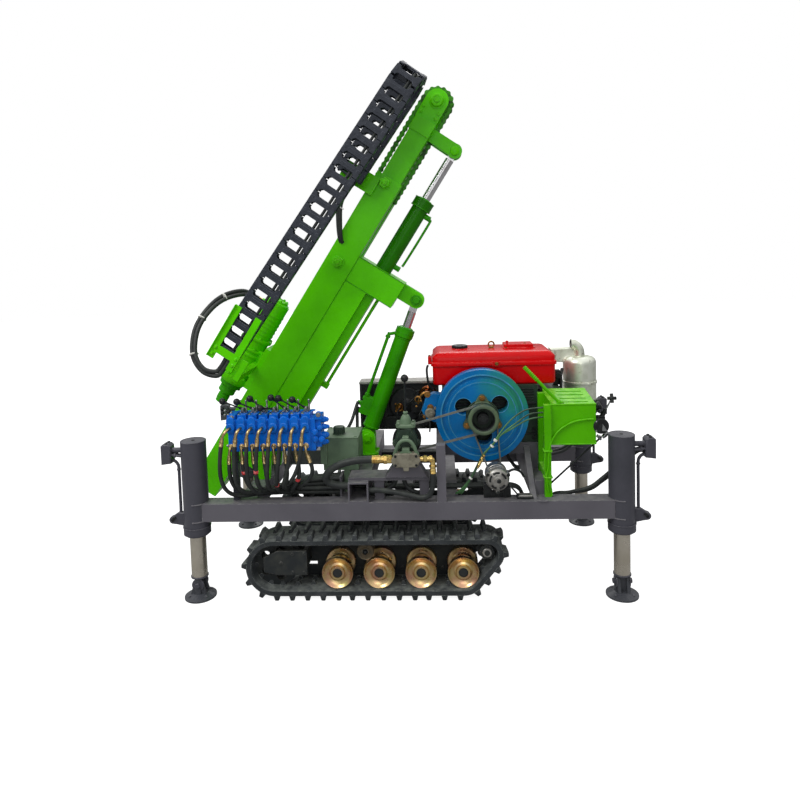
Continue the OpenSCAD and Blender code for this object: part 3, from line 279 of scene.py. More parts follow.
def lightStudio(look):
    scene = bpy.context.scene
    scene.view_settings.view_transform = "Standard"
    world = bpy.data.worlds.new("paleRoom")
    scene.world = world
    world.use_nodes = True
    tree = world.node_tree
    tree.nodes.clear()
    # light from above and little from the sides, so that upright faces keep their colour; the eye sees white
    rays = addNode(tree, "ShaderNodeLightPath")
    up = addNode(tree, "ShaderNodeSeparateXYZ", (), {0: addNode(tree, "ShaderNodeTexCoord").outputs["Generated"]})
    share = addNode(tree, "ShaderNodeMapRange", {"From Min": 0.0, "From Max": 0.75, "To Min": look["horizon"],
                                                 "To Max": look["zenith"]}, {"Value": up.outputs["Z"]})
    light = addNode(tree, "ShaderNodeBackground", {"Color": (1, 1, 1, 1)}, {"Strength": share.outputs["Result"]})
    white = addNode(tree, "ShaderNodeBackground", {"Color": (1, 1, 1, 1), "Strength": 1.0})
    mix = addNode(tree, "ShaderNodeMixShader", (), {0: rays.outputs["Is Camera Ray"], 1: light.outputs[0],
                                                    2: white.outputs[0]})
    addNode(tree, "ShaderNodeOutputWorld", (), {"Surface": mix.outputs[0]})
    for name, place, size, power in look["lamps"]:
        lamp = bpy.data.lights.new(name, "AREA")
        lamp.shape, lamp.size, lamp.energy = "DISK", size, power
        lampObject = bpy.data.objects.new(name, lamp)
        scene.collection.objects.link(lampObject)
        lampObject.matrix_world = Matrix.Translation(place) @ (
            Vector((0, 0, 0.9)) - Vector(place)).to_track_quat("-Z", "Y").to_matrix().to_4x4()
    floorMesh = bpy.data.meshes.new("floor")
    floorMesh.from_pydata([(-14, -10, 0), (14, -10, 0), (14, 18, 0), (-14, 18, 0)], [], [(0, 1, 2, 3)])
    floor = bpy.data.objects.new("floor", floorMesh)
    scene.collection.objects.link(floor)
    paper = bpy.data.materials.new("palePaper")  # pale matt floor that only keeps the soft contact shadow
    paper.use_nodes = True
    tree = paper.node_tree
    tree.nodes.clear()
    rays = addNode(tree, "ShaderNodeLightPath")
    matt = addNode(tree, "ShaderNodeBsdfDiffuse", {"Color": (look["floorColour"],) * 3 + (1,)})
    power = addNode(tree, "ShaderNodeMath", {"operation": "MULTIPLY", 1: look["floorLift"]},
                    {0: rays.outputs["Is Camera Ray"]})
    lift = addNode(tree, "ShaderNodeEmission", {"Color": (1, 1, 1, 1)}, {"Strength": power.outputs[0]})
    total = addNode(tree, "ShaderNodeAddShader", (), {0: matt.outputs[0], 1: lift.outputs[0]})
    addNode(tree, "ShaderNodeOutputMaterial", (), {"Surface": total.outputs[0]})
    floorMesh.materials.append(paper)


placeCamera(photoCamera)
lightStudio(studio)
print("camera and light placed")

# Finishes: named for the real material and, where they carry painted light, for that light; a comment says what the
# eye sees

def linear(hexColour):  # sRGB hex value to a linear colour
    c = np.array([int(hexColour[k:k + 2], 16) / 255 for k in (1, 3, 5)])
    c = np.where(c <= 0.04045, c / 12.92, ((c + 0.055) / 1.055) ** 2.4)
    return (*c.tolist(), 1.0)


def makeFinish(name, look):
    # layers over a base colour: patches, specks, paler edges, paler upward faces, a coat below a height, overspray;
    # the edges are rubbed wear and on some finishes painted highlight, and the upward faces are dust and on some
    # finishes a painted lit top
    material = bpy.data.materials.new(name)
    material.use_nodes = True
    tree = material.node_tree
    tree.nodes.clear()
    place = addNode(tree, "ShaderNodeTexCoord")
    # noise of each layer: patch size in mm, detail, the part of its range that is used and what that becomes
    noises = {"patch": (look.get("patchSize", 120), 4.0, *look.get("patchRange", (0.45, 0.7)), 0.0, 1.0),
              "speck": (look.get("speckSize", 4), 2.0, *look.get("speckRange", (0.62, 0.72)), 0.0, 1.0),
              "edge": (22, 4.0, 0.42, 0.62, 0.0, 1.0), "dustAndLitTop": (35, 4.0, 0.3, 0.7, 0.0, 1.0),
              "spray": (90, 4.0, 0.2, 0.8, -0.05, 0.05), "roughness": (60, 4.0, 0.3, 0.7, *look["roughness"])}
    shares, steps = {}, {}
    for key in (k for k in noises if k in look):
        size, detail, low, high, toLow, toHigh = noises[key]
        noise = addNode(tree, "ShaderNodeTexNoise", {"Scale": 1 / (size * mm), "Detail": detail, "Roughness": 0.55},
                        {"Vector": place.outputs["Object"]})
        shares[key] = addNode(tree, "ShaderNodeMapRange", {"From Min": low, "From Max": high, "To Min": toLow,
                                                           "To Max": toHigh}, {"Value": noise.outputs["Fac"]})
    normal = {}
    if "edgeWidth" in look:
        bevel = addNode(tree, "ShaderNodeBevel", {"samples": 4, "Radius": look["edgeWidth"] * mm})
        normal["Normal"] = bevel.outputs["Normal"]
    # what narrows or replaces a layer's share: source, its range, what that becomes
    if "edge" in look:
        surface = addNode(tree, "ShaderNodeNewGeometry").outputs["Normal"]
        flat = addNode(tree, "ShaderNodeVectorMath", {"operation": "DOT_PRODUCT"},
                       {0: normal["Normal"], 1: surface})
        steps["edge"] = (flat.outputs["Value"], 0.995, 0.93, 0.0, 1.0)
    # paler upward faces: dust, and on some finishes painted light on the top
    if "dustAndLitTop" in look:
        up = addNode(tree, "ShaderNodeSeparateXYZ", (), {0: place.outputs["Normal"]})
        steps["dustAndLitTop"] = (up.outputs["Z"], 0.3, 1.0, 0.0, look.get("dustAndLitTopShare", 0.35))
    if "foot" in look:
        height = addNode(tree, "ShaderNodeSeparateXYZ", (), {0: place.outputs["Object"]})
        steps["foot"] = (height.outputs["Z"], look["footTop"] * mm + 0.001, look["footTop"] * mm, 0.0, 1.0)
    if "spray" in look:
        away = addNode(tree, "ShaderNodeVectorMath", {"operation": "DISTANCE", 1: look["sprayAt"]},
                       {0: place.outputs["Object"]})
        ragged = addNode(tree, "ShaderNodeMath", {"operation": "ADD"},
                         {0: away.outputs["Value"], 1: shares.pop("spray").outputs["Result"]})
        steps["spray"] = (ragged.outputs[0], 0.21, 0.06, 0.0, 0.75)
    for key, (source, low, high, toLow, toHigh) in steps.items():
        step = addNode(tree, "ShaderNodeMapRange", {"From Min": low, "From Max": high, "To Min": toLow,
                                                    "To Max": toHigh}, {"Value": source})
        if key in shares:
            step = addNode(tree, "ShaderNodeMath", {"operation": "MULTIPLY"},
                           {0: step.outputs["Result"], 1: shares[key].outputs["Result"]})
        shares[key] = step
    first = {"settings": {6: linear(look["colour"])}, "links": {}}
    for key in (k for k in ("patch", "speck", "edge", "dustAndLitTop", "foot", "spray") if k in look):
        mix = addNode(tree, "ShaderNodeMix", {"data_type": "RGBA", 7: linear(look[key]), **first["settings"]},
                      {0: shares[key].outputs[0], **first["links"]})
        first = {"settings": {}, "links": {6: mix.outputs[2]}}
    if "grain" in look:
        grain = addNode(tree, "ShaderNodeTexNoise", {"Scale": 1 / (look["grain"] * mm), "Detail": 2.0,
                                                     "Roughness": 0.55}, {"Vector": place.outputs["Object"]})
        bump = addNode(tree, "ShaderNodeBump", {"Strength": look.get("grainStrength", 0.25),
                                                "Distance": look.get("grainHeight", 0.3) * mm},
                       {"Height": grain.outputs["Fac"], **normal})
        normal["Normal"] = bump.outputs["Normal"]
    shader = addNode(tree, "ShaderNodeBsdfPrincipled",
                     {"Metallic": look.get("metallic", 0.0), "Specular IOR Level": look.get("shine", 0.3),
                      "Coat Weight": look.get("coat", 0.0), "Coat Roughness": 0.08},
                     {"Base Color": mix.outputs[2], "Roughness": shares["roughness"].outputs["Result"], **normal})
    if "foot" in look:  # the coat below isn't metal
        metal = addNode(tree, "ShaderNodeMapRange", {"To Min": look.get("metallic", 0.0), "To Max": 0.0},
                        {"Value": shares["foot"].outputs["Result"]})
        tree.links.new(metal.outputs["Result"], shader.inputs["Metallic"])
    addNode(tree, "ShaderNodeOutputMaterial", (), {"Surface": shader.outputs[0]})
    return material

# Sprayed alkyd enamel: strong leaf green, glossy with a slight orange-peel ripple
greenEnamel = makeFinish("sprayedGreenEnamel", {
    "colour": "#5cd400", "patch": "#52c200", "patchSize": 260, "dustAndLitTop": "#8fdc3a", "dustAndLitTopShare": 0.30, "shine": 0.12,
    "edge": "#86d83a", "edgeWidth": 2.2, "roughness": (0.22, 0.36), "grain": 6, "grainHeight": 0.12, "coat": 0.05})
# Pressed sheet of the control box: the same green darkened as painted shade for its shaded front, with a pale lime
# on upward faces as painted light on its top
panelGreenPaintedShade = makeFinish("panelGreenPaintedShadeAndLight", {
    "colour": "#55b800", "patch": "#4ba800", "patchSize": 200, "dustAndLitTop": "#a5e65c", "dustAndLitTopShare": 0.6, "shine": 0.12,
    "edge": "#86d83a", "edgeWidth": 2.2, "roughness": (0.22, 0.36), "grain": 6, "grainHeight": 0.12})
# The slide barrel's tube under the mast: the same green enamel darkened as painted shade for the shadow it lies in
greenPaintedShade = makeFinish("paintedShadeGreenEnamel", {
    "colour": "#257800", "patch": "#1f6800", "patchSize": 140, "edge": "#4c9a2a", "edgeWidth": 1.6, "shine": 0.14,
    "roughness": (0.20, 0.34), "grain": 6, "grainHeight": 0.10})
# The same enamel over cylinder tubes: a darker, thinner coat
greenTube = makeFinish("thinGreenEnamel", {
    "colour": "#359d00", "patch": "#2b8800", "patchSize": 140, "edge": "#5fb52c", "edgeWidth": 1.6, "shine": 0.14,
    "roughness": (0.20, 0.34), "grain": 6, "grainHeight": 0.10, "coat": 0.05})
# Oiled roller chain under green overspray: dark links with green faces
greenChain = makeFinish("oversprayedChainSteel", {
    "colour": "#3f9414", "patch": "#24401a", "patchSize": 26, "patchRange": (0.46, 0.62), "metallic": 0.15,
    "roughness": (0.32, 0.55), "grain": 3, "grainHeight": 0.2, "edgeWidth": 0.8})
# Satin industrial grey enamel with a purple cast on square tube, dusty on top; its pale edges are rubbed wear and
# painted highlight
frameGrey = makeFinish("satinGreyEnamel", {
    "colour": "#615f66", "patch": "#58565d", "patchSize": 320, "dustAndLitTop": "#8b8a85", "dustAndLitTopShare": 0.55,
    "edge": "#a7a7a6", "edgeWidth": 2.6, "roughness": (0.36, 0.52), "grain": 4, "grainHeight": 0.12})
# The same enamel on round jack tubes, a little darker
jackGrey = makeFinish("darkGreyEnamel", {
    "colour": "#47474f", "patch": "#3e3f46", "patchSize": 200, "dustAndLitTop": "#77767a", "dustAndLitTopShare": 0.4,
    "edge": "#86868a", "edgeWidth": 1.8, "roughness": (0.34, 0.50), "grain": 4, "grainHeight": 0.12})
# Black chassis enamel with dried mud
chassisBlack = makeFinish("dustyBlackEnamel", {
    "colour": "#24282a", "patch": "#383a36", "patchSize": 90, "dustAndLitTop": "#5d5b50", "dustAndLitTopShare": 0.5,
    "edge": "#6c6c68", "edgeWidth": 2.0, "roughness": (0.42, 0.62), "grain": 5, "grainHeight": 0.25})
# Moulded track rubber: near black and matt with grey specks; the pale grey on its edges and upward faces is painted
# highlight on the lugs and sidewall
trackRubber = makeFinish("mouldedTrackRubber", {
    "colour": "#2e3234", "patch": "#3f4245", "patchSize": 60, "speck": "#585a59", "speckSize": 9,
    "speckRange": (0.62, 0.80), "dustAndLitTop": "#7d827c", "dustAndLitTopShare": 0.7, "edge": "#8d938e", "edgeWidth": 3.0,
    "roughness": (0.62, 0.82), "grain": 5, "grainHeight": 0.5, "grainStrength": 0.5})
# Yellow zinc passivation on turned steel: gold that drifts to pink and green
zincYellow = makeFinish("yellowPassivatedZinc", {
    "colour": "#d9c189", "patch": "#cf9f82", "patchSize": 70, "patchRange": (0.42, 0.62), "speck": "#b0ac62",
    "speckSize": 45, "speckRange": (0.6, 0.8), "metallic": 1.0, "roughness": (0.22, 0.36), "grain": 3,
    "grainHeight": 0.08, "edgeWidth": 1.2})
# Hard chrome on a cylinder rod: bright and mirror smooth
hardChrome = makeFinish("hardChrome", {
    "colour": "#c9c8ca", "patch": "#bdbabb", "patchSize": 80, "metallic": 1.0, "roughness": (0.22, 0.3),
    "edgeWidth": 0.8})
# Chrome dulled by oil and dust on the jacks' rods
dullChrome = makeFinish("oilyHardChrome", {
    "colour": "#cac3b5", "patch": "#b9b1a1", "patchSize": 120, "metallic": 0.9, "roughness": (0.24, 0.36),
    "edgeWidth": 0.8, "foot": "#43454a", "footTop": 104.0})
# Royal blue enamel on cast iron: glossy over a sandy casting
castBlue = makeFinish("blueCastIronEnamel", {
    "colour": "#0068d2", "patch": "#0058b8", "patchSize": 45, "edge": "#4a8be0", "edgeWidth": 2.4,
    "roughness": (0.22, 0.38), "grain": 3, "grainHeight": 0.35, "grainStrength": 0.4, "coat": 0.15, "shine": 0.16,
    "foot": "#3a3c44", "footTop": 744.0})
# Dark green machinery enamel, oily
engineGreen = makeFinish("oilyGreenEnamel", {
    "colour": "#26352a", "patch": "#2f4436", "patchSize": 60, "dustAndLitTop": "#5b6b58", "dustAndLitTopShare": 0.45,
    "edge": "#6a7a63", "edgeWidth": 1.8, "roughness": (0.28, 0.48), "grain": 3, "grainHeight": 0.35,
    "grainStrength": 0.4})
# The same enamel under dust and green overspray on the tank and the pump
paleGreen = makeFinish("dustyGreenEnamel", {
    "colour": "#647a61", "patch": "#536752", "patchSize": 80, "dustAndLitTop": "#7f8d78", "dustAndLitTopShare": 0.6,
    "edge": "#8fa088", "edgeWidth": 2.0, "roughness": (0.34, 0.52), "grain": 3, "grainHeight": 0.3,
    "grainStrength": 0.4})
# Bright red stove enamel on pressed sheet, deep gloss
tankRed = makeFinish("redStoveEnamel", {
    "colour": "#d00006", "patch": "#bd0006", "patchSize": 240, "edge": "#ee5a55", "edgeWidth": 2.5, "shine": 0.14,
    "roughness": (0.18, 0.3), "grain": 14, "grainHeight": 0.10, "coat": 0.08})
# Silver aluminium paint on the silencer: dull, heat-stained
silverPaint = makeFinish("aluminiumHeatPaint", {
    "colour": "#eef1e4", "patch": "#d2d7c2", "patchSize": 70, "speck": "#8d8c74", "speckSize": 30,
    "speckRange": (0.6, 0.8), "metallic": 0.8, "roughness": (0.34, 0.48), "grain": 3, "grainHeight": 0.1,
    "edgeWidth": 1.5})
# Die-cast aluminium with a sandblasted skin
castAluminium = makeFinish("dieCastAluminium", {
    "colour": "#a9a7a2", "patch": "#8b8983", "patchSize": 25, "metallic": 0.85, "roughness": (0.34, 0.5),
    "grain": 2, "grainHeight": 0.2, "grainStrength": 0.4, "edgeWidth": 1.0, "edge": "#d6d4cf"})
# Zinc-plated fittings with a yellow passivation: pale brass colour
fittingZinc = makeFinish("passivatedFittingSteel", {
    "colour": "#cdb482", "patch": "#b1976a", "patchSize": 14, "speck": "#8f8062", "speckSize": 8,
    "metallic": 1.0, "roughness": (0.24, 0.4), "edgeWidth": 0.7, "edge": "#e6d3a0"})
# Bright zinc plate on levers, forks and bolts
brightZinc = makeFinish("brightZincPlate", {
    "colour": "#a3a6a6", "patch": "#7e8382", "patchSize": 12, "metallic": 1.0, "roughness": (0.2, 0.36),
    "edgeWidth": 0.6, "edge": "#d8dada"})
# Hydraulic hose cover: synthetic rubber, dull black with grey-green dust
hoseRubber = makeFinish("wrappedHoseRubber", {
    "colour": "#2b2e2e", "patch": "#3a3f3b", "patchSize": 60, "dustAndLitTop": "#6c7068", "dustAndLitTopShare": 0.35,
    "roughness": (0.42, 0.6), "grain": 2, "grainHeight": 0.15})
# Glass-filled nylon links of the drag chain: blue-black, moulded
chainNylon = makeFinish("glassFilledNylon", {
    "colour": "#2b2f38", "patch": "#373b44", "patchSize": 40, "edge": "#636873", "edgeWidth": 1.6,
    "roughness": (0.42, 0.58), "grain": 2, "grainHeight": 0.12})
# Phenolic balls on the levers: glossy black
knobBlack = makeFinish("phenolicBlack", {
    "colour": "#1b1c1e", "patch": "#232426", "patchSize": 20, "roughness": (0.18, 0.32)})
# Drive belt rubber with cloth cover
beltRubber = makeFinish("clothBeltRubber", {
    "colour": "#6d7069", "patch": "#55544f", "patchSize": 30, "roughness": (0.55, 0.75), "grain": 1.2,
    "grainHeight": 0.2})
# Blackened and oily small machine parts
oilyBlack = makeFinish("oilyBlackSteel", {
    "colour": "#1f2122", "patch": "#2e3130", "patchSize": 18, "metallic": 0.3, "roughness": (0.28, 0.5),
    "edge": "#5d605e", "edgeWidth": 1.0, "grain": 2, "grainHeight": 0.2})
# Nylon cable ties
tieWhite = makeFinish("naturalNylonTie", {"colour": "#e3e2dc", "patch": "#cfcfc6", "patchSize": 8,
                                          "roughness": (0.35, 0.5)})
tieRed = makeFinish("redVinylTape", {"colour": "#cf2b33", "patch": "#e9a9a2", "patchSize": 9,
                                     "roughness": (0.35, 0.5)})
# Bare copper and bronze bits round the injection pump
bronze = makeFinish("tarnishedBronze", {"colour": "#a9793f", "patch": "#6f5a36", "patchSize": 9, "metallic": 1.0,
                                        "roughness": (0.25, 0.45), "edgeWidth": 0.8})

# Blue enamel on cast iron with a drift of green overspray across one side
flywheelBlue = makeFinish("blueFlywheelEnamel", {
    "colour": "#0070b4", "patch": "#00609c", "patchSize": 180, "edge": "#4d9ac8", "edgeWidth": 2.0,
    "roughness": (0.20, 0.34), "grain": 3, "grainHeight": 0.2, "coat": 0.1, "shine": 0.14, "spray": "#2f8f4a",
    "sprayAt": (0.555, -0.30, 0.985)})
nodeFinishes = {
    frameGrey: "deck_frame engine_bed", jackGrey: "jack_tubes lock_valves",
    dullChrome: "jack_leg_fn jack_leg_ff jack_leg_rn jack_leg_rf", trackRubber: "track_near track_far",
    chassisBlack: "track_frames track_idlers track_sprockets oil_cooler cross_tubes", zincYellow: "track_rollers",
    greenEnamel: "mast_brackets cradle mast carriage head_motor", greenTube: "tilt_barrel spindle",
    greenPaintedShade: "slide_barrel", panelGreenPaintedShade: "control_box", greenChain: "feed_chain",
    engineGreen: "engine_block drive_pulley pump_drive", paleGreen: "oil_tank", tankRed: "fuel_tank",
    silverPaint: "air_cleaner", flywheelBlue: "flywheel", castBlue: "valve_block",
    castAluminium: "alternator gear_pump", oilyBlack: "alternator_pulley pump_pulley box_levers",
    beltRubber: "drive_belts", knobBlack: "hand_levers", fittingZinc: "port_fittings",
    hoseRubber: "valve_hoses deck_hoses head_hoses", hardChrome: "tilt_rod slide_rod", chainNylon: "drag_chain"}
for finish, names in nodeFinishes.items():
    for name in names.split():
        nodes[name].data.materials.clear()
        nodes[name].data.materials.append(finish)
print("finishes on the nodes")
# Drag chain: nylon links on the bent run that the record's chain stands for
dragChain = {"pitch": 74.0, "half": 74.0, "depth": 50.0, "foot": (-1417.0, 514.0), "tilt": 2.6, "nearY": -335.0,
             "farY": -165.0, "nearLinks": 22, "bendLinks": 4, "farLinks": 7, "wall": 7.0, "cover": 7.0,
             "coverHalf": 17.0, "endHalf": 35.0, "endWide": 25.0, "hoses": ((24.0, 8.0), (43.0, 8.0))}


def coverShape(look, pitch, low, high):
    # a cover is an I seen from outside: a middle bar, straight blocks at both ends, chamfers in the corners
    h, e, m, c = look["half"] - 1.0, look["half"] - look["endWide"], look["coverHalf"] * pitch / 74, 9.0
    z = look["endHalf"] * pitch / 74
    outline = [(-h, -z), (-e, -z), (-e, -m - c), (-e + c, -m), (e - c, -m), (e, -m - c), (e, -z), (h, -z),
               (h, z), (e, z), (e, m + c), (e - c, m), (-e + c, m), (-e, m + c), (-e, z), (-h, z)]
    return slab(outline, low, high, 1.3)


def linkShape(look, stretch=1.0):
    # one link: x across, y outwards from the bend's centre, z along; side plates step in by their own thickness
    half, deep, pitch = look["half"], look["depth"] / 2, look["pitch"] * stretch
    parts = []
    t = np.linspace(-np.pi / 2, np.pi / 2, 9)
    for side in (-1, 1):
        for offset, start, end in ((0.6, -pitch * 0.06, pitch * 0.54), (look["wall"], pitch * 0.46, pitch * 1.06)):
            lo, hi = sorted((side * (half - offset), side * (half - offset - look["wall"])))
            r = deep - 3.0
            outline = np.concatenate([np.column_stack([r * np.sin(t), end - r * 0.4 + r * 0.4 * np.cos(t)]),
                                      np.column_stack([-r * np.sin(t), start + r * 0.3 - r * 0.3 * np.cos(t)])])
            p, f = slab(outline, lo, hi, 1.0)
            parts.append((np.stack([p[:, 2], p[:, 0], p[:, 1]], 1), f))
        parts.append(turned([(0, 0), (9, 0), (9, 1.2), (5, 1.2), (4, 0.4), (0, 0.4)], 20,
                            (side * (half - 0.8), 0, pitch * 0.02), (side, 0, 0)))
        # separator that stands between the two covers
        parts.append(boxShape(sorted((side * (half - 22), side * (half - 26))), (-deep + 7, deep - 7),
                              (pitch * 0.40, pitch * 0.60), 1))
    parts.append(boxShape((8, 11), (-deep + 7, deep - 7), (pitch * 0.36, pitch * 0.64), 1))
    for outward in (1, -1):
        p, f = coverShape(look, pitch, -look["cover"], 0)
        p = np.stack([p[:, 0], p[:, 2], p[:, 1] + pitch * 0.5], 1)
        parts.append((p * (1, outward, 1) + (0, outward * deep, 0), f))
        for x in (-1, 1):  # snap studs and the step across the middle of each end block
            q = slab(roundOutline((x * (half - 13) - 8, x * (half - 13) + 8), (-9, 9), 2.5), -0.8, 1.0, 0.5)
            p = np.stack([q[0][:, 0], q[0][:, 2], q[0][:, 1] + pitch * 0.5], 1)
            parts.append((p * (1, outward, 1) + (0, outward * deep, 0), q[1]))
        q = slab(roundOutline((-half + 34, half - 34), (-5, 5), 3), -0.6, 0.9, 0.4)
        p = np.stack([q[0][:, 0], q[0][:, 2], q[0][:, 1] + pitch * 0.5], 1)
        parts.append((p * (1, outward, 1) + (0, outward * deep, 0), q[1]))
    return join(*parts)


def dragFrame(p, look):  # chain's own axes (x across, y, z along the run) to the machine
    a = np.radians(look["tilt"])
    x, z = p[..., 0] * np.cos(a) + p[..., 2] * np.sin(a), p[..., 2] * np.cos(a) - p[..., 0] * np.sin(a)
    return leaning(np.stack([x + look["foot"][0], p[..., 1], z + look["foot"][1]], -1))


def dragPath(look):  # start point, direction and outward direction (y, z) of every link
    run, radius = look["nearLinks"] * look["pitch"], (look["farY"] - look["nearY"]) / 2
    rows = [((look["nearY"], k * look["pitch"]), (0, 1), (-1, 0), 1.0) for k in range(look["nearLinks"])]
    step = np.pi / look["bendLinks"]
    for k in range(look["bendLinks"]):
        a, m = k * step, (k + 0.5) * step
        start = (look["nearY"] + radius - radius * np.cos(a), run + radius * np.sin(a))
        rows.append((start, (np.sin(m), np.cos(m)), (-np.cos(m), np.sin(m)),
                     2 * radius * np.sin(step / 2) / look["pitch"]))
    rows += [((look["farY"], run - k * look["pitch"]), (0, -1), (1, 0), 1.0) for k in range(look["farLinks"])]
    return rows


def makeDragChain(look):
    parts = []
    for start, along, outward, stretch in dragPath(look):
        p, f = linkShape(look, stretch)
        y = start[0] + p[:, 1] * outward[0] + p[:, 2] * along[0]
        z = start[1] + p[:, 1] * outward[1] + p[:, 2] * along[1]
        parts.append((dragFrame(np.stack([p[:, 0], y, z], 1), look), f))
    top = (look["nearLinks"] - look["farLinks"]) * look["pitch"]
    for y, z in ((look["nearY"], 0.0), (look["farY"], top + 2)):
        end = join(boxShape((-70, 70), (y - 21, y + 21), (z, z + 10), 2),
                   *[boxShape(x, (y - 24, y + 24), (z, z + 50), 2) for x in ((-60, -54), (54, 60))])
        parts.append((dragFrame(end[0], look), end[1]))
    addPiece("dragChainLinks", join(*parts), chainNylon, "mast", replaces=["drag_chain"])
    run, radius = look["nearLinks"] * look["pitch"], (look["farY"] - look["nearY"]) / 2
    a = np.linspace(0, np.pi, 17)
    hoses = []
    for x, r in look["hoses"]:
        line = np.concatenate([[(x, look["nearY"], 4)], [(x, look["nearY"], z) for z in np.linspace(60, run, 20)],
                               np.column_stack([np.full(15, x), look["nearY"] + radius - radius * np.cos(a[1:-1]),
                                                run + radius * np.sin(a[1:-1])]),
                               [(x, look["farY"], z) for z in np.linspace(run, top + 6, 10)]])
        hoses.append(swept(dragFrame(line, look), r, 12))
    addPiece("dragChainHoses", join(*hoses), hoseRubber, "mast", 60)


makeDragChain(dragChain)

# Feed chain: roller links with waisted plates, down both sides of the mast head and over its sprocket
feedChain = {"pitch": 31.75, "centre": (-1187.0, 2208.0), "radius": 79.0, "frontEnd": 1722.0, "backEnd": 1628.0,
             "plateHeight": 27.0, "plateWide": 3.2, "rollerRadius": 9.0}


def feedPath(look):  # points (w, u) one pitch apart: up the front strand, over the top, down the back strand
    (w, u), r = look["centre"], look["radius"]
    corners = [(w - r, look["frontEnd"])] + [(w - r * np.cos(a), u + r * np.sin(a))
                                             for a in np.linspace(0, np.pi, 65)]
    corners = np.array(corners + [(w + r, look["backEnd"])])
    s = np.concatenate([[0], np.cumsum(np.linalg.norm(np.diff(corners, axis=0), axis=1))])
    at = np.arange(0, s[-1], look["pitch"])
    return np.column_stack([np.interp(at, s, corners[:, 0]), np.interp(at, s, corners[:, 1])])


def makeFeedChain(look):
    points, r, parts = feedPath(look), look["plateHeight"] / 2, []
    t = np.linspace(-np.pi / 2, np.pi / 2, 10)
    for k, (a, b) in enumerate(zip(points[:-1], points[1:])):
        span, way = np.linalg.norm(b - a), (b - a) / np.linalg.norm(b - a)
        # plate outline: r (1 - 0.36 sin^2) between two round ends
        along = np.linspace(0, 1, 9)[1:-1]
        waist = r * (1 - 0.36 * np.sin(np.pi * along) ** 2)
        outline = np.concatenate([np.column_stack([span + r * np.cos(t), r * np.sin(t)]),
                                  np.column_stack([span * (1 - along), waist]),
                                  np.column_stack([-r * np.cos(t), -r * np.sin(t)]),
                                  np.column_stack([span * along, -waist])])
        reach = 12.8 if k % 2 else 8.8
        for side in (-1, 1):
            lo, hi = sorted((side * reach, side * (reach - look["plateWide"])))
            p, f = slab(outline, lo, hi, 0.6)
            w = a[0] + p[:, 0] * way[0] - p[:, 1] * way[1]
            u = a[1] + p[:, 0] * way[1] + p[:, 1] * way[0]
            parts.append((leaning(np.stack([w, p[:, 2], u], 1)), f))
    for w, u in points:
        low, high = leaning(np.array([(w, -14.0, u), (w, 14.0, u)]))
        parts.append(rod(low, high, 5.4, 12))
        low, high = leaning(np.array([(w, -5.4, u), (w, 5.4, u)]))
        parts.append(rod(low, high, look["rollerRadius"], 16))
    # sprocket under the chain: teeth between the rollers
    (w, u), teeth = look["centre"], 15
    a = np.arange(teeth * 8) * 2 * np.pi / (teeth * 8)
    rim = look["radius"] - 5 + 6 * np.cos(teeth * a)
    p, f = slab(np.column_stack([w + rim * np.cos(a), u + rim * np.sin(a)]), -4.5, 4.5, 1.0)
    parts.append((leaning(np.stack([p[:, 0], p[:, 2], p[:, 1]], 1)), f))
    low, high = leaning(np.array([(w, -60.0, u), (w, 60.0, u)]))
    parts.append(rod(low, high, 32, 40))
    addPiece("feedChainLinks", join(*parts), greenChain, "mast", replaces=["feed_chain"])


makeFeedChain(feedChain)
print("drag chain and feed chain done")

# Hoses and fittings of the valve block; each hose leaves its elbow, hangs and turns into the stub tube's bundle
valves = {"firstX": -849.0, "gap": 53.0, "ports": 8, "portZ": (771.0, 866.0), "out": (22.0, 51.0), "face": -460.3,
          "hose": 10.0, "bundle": (-330.3, -384.0, 506.0), "capTop": 926.0,
          "shift": ((-7, 3, 4, 4, 4, 4, 6, 8), (-30, -17, -15, -15, -13, -12, -11, -10)),
          "slant": ((-0.05, 0.06, 0.1, 0.1, 0.1, 0.12, 0.2, 0.36),
                    (-0.16, -0.12, -0.06, -0.1, -0.08, -0.08, -0.1, -0.1))}


def bezierPath(a, b, c, d, n):  # cubic: s^3 a + 3 s^2 t b + 3 s t^2 c + t^3 d with s = 1 - t
    t = np.linspace(0, 1, n)[:, None]
    a, b, c, d = (np.asarray(v, float) for v in (a, b, c, d))
    return (1 - t) ** 3 * a + 3 * (1 - t) ** 2 * t * b + 3 * (1 - t) * t ** 2 * c + t ** 3 * d


def hosePath(a, out, b, into, n=30, lead=12.0):  # straight ends with a curve between
    a, b, out, into = (np.asarray(v, float) for v in (a, b, out, into))
    curve = bezierPath(a + lead * out / np.linalg.norm(out), a + out, b + into,
                       b + lead * into / np.linalg.norm(into), n)
    return np.concatenate([[a], curve, [b]])


def atLength(path, s):  # point and direction at a length along a path
    d = np.concatenate([[0], np.cumsum(np.linalg.norm(np.diff(path, axis=0), axis=1))])
    spot = np.array([np.interp(s, d, path[:, k]) for k in range(3)])
    ahead = np.array([np.interp(s + 3, d, path[:, k]) for k in range(3)])
    return spot, (ahead - spot) / np.linalg.norm(ahead - spot)


def hexNut(radius, height):  # hexagon with chamfered corners, centred on z
    return slab(hexagon(radius), -height / 2, height / 2, radius * 0.12)


def collar(radius, length, sides=24):  # a plain ring from 0 to its length, rims a little rounded
    b = min(radius * 0.08, length * 0.3)
    return turned([(0, 0), (radius - b, 0), (radius, b), (radius, length - b), (radius - b, length), (0, length)],
                  sides)


def crimpSleeve(radius, length):  # pressed sleeve: long flats with three rolled grooves near its foot
    r = radius
    profile = [(0, 0), (r * 0.86, 0), (r, length * 0.05)]
    for k in range(3):
        z = length * (0.16 + 0.13 * k)
        profile += [(r, z - 1.6), (r * 0.9, z), (r, z + 1.6)]
    profile += [(r, length * 0.72), (r * 0.88, length * 0.78), (r * 0.88, length), (0, length)]
    return turned(profile, 24)


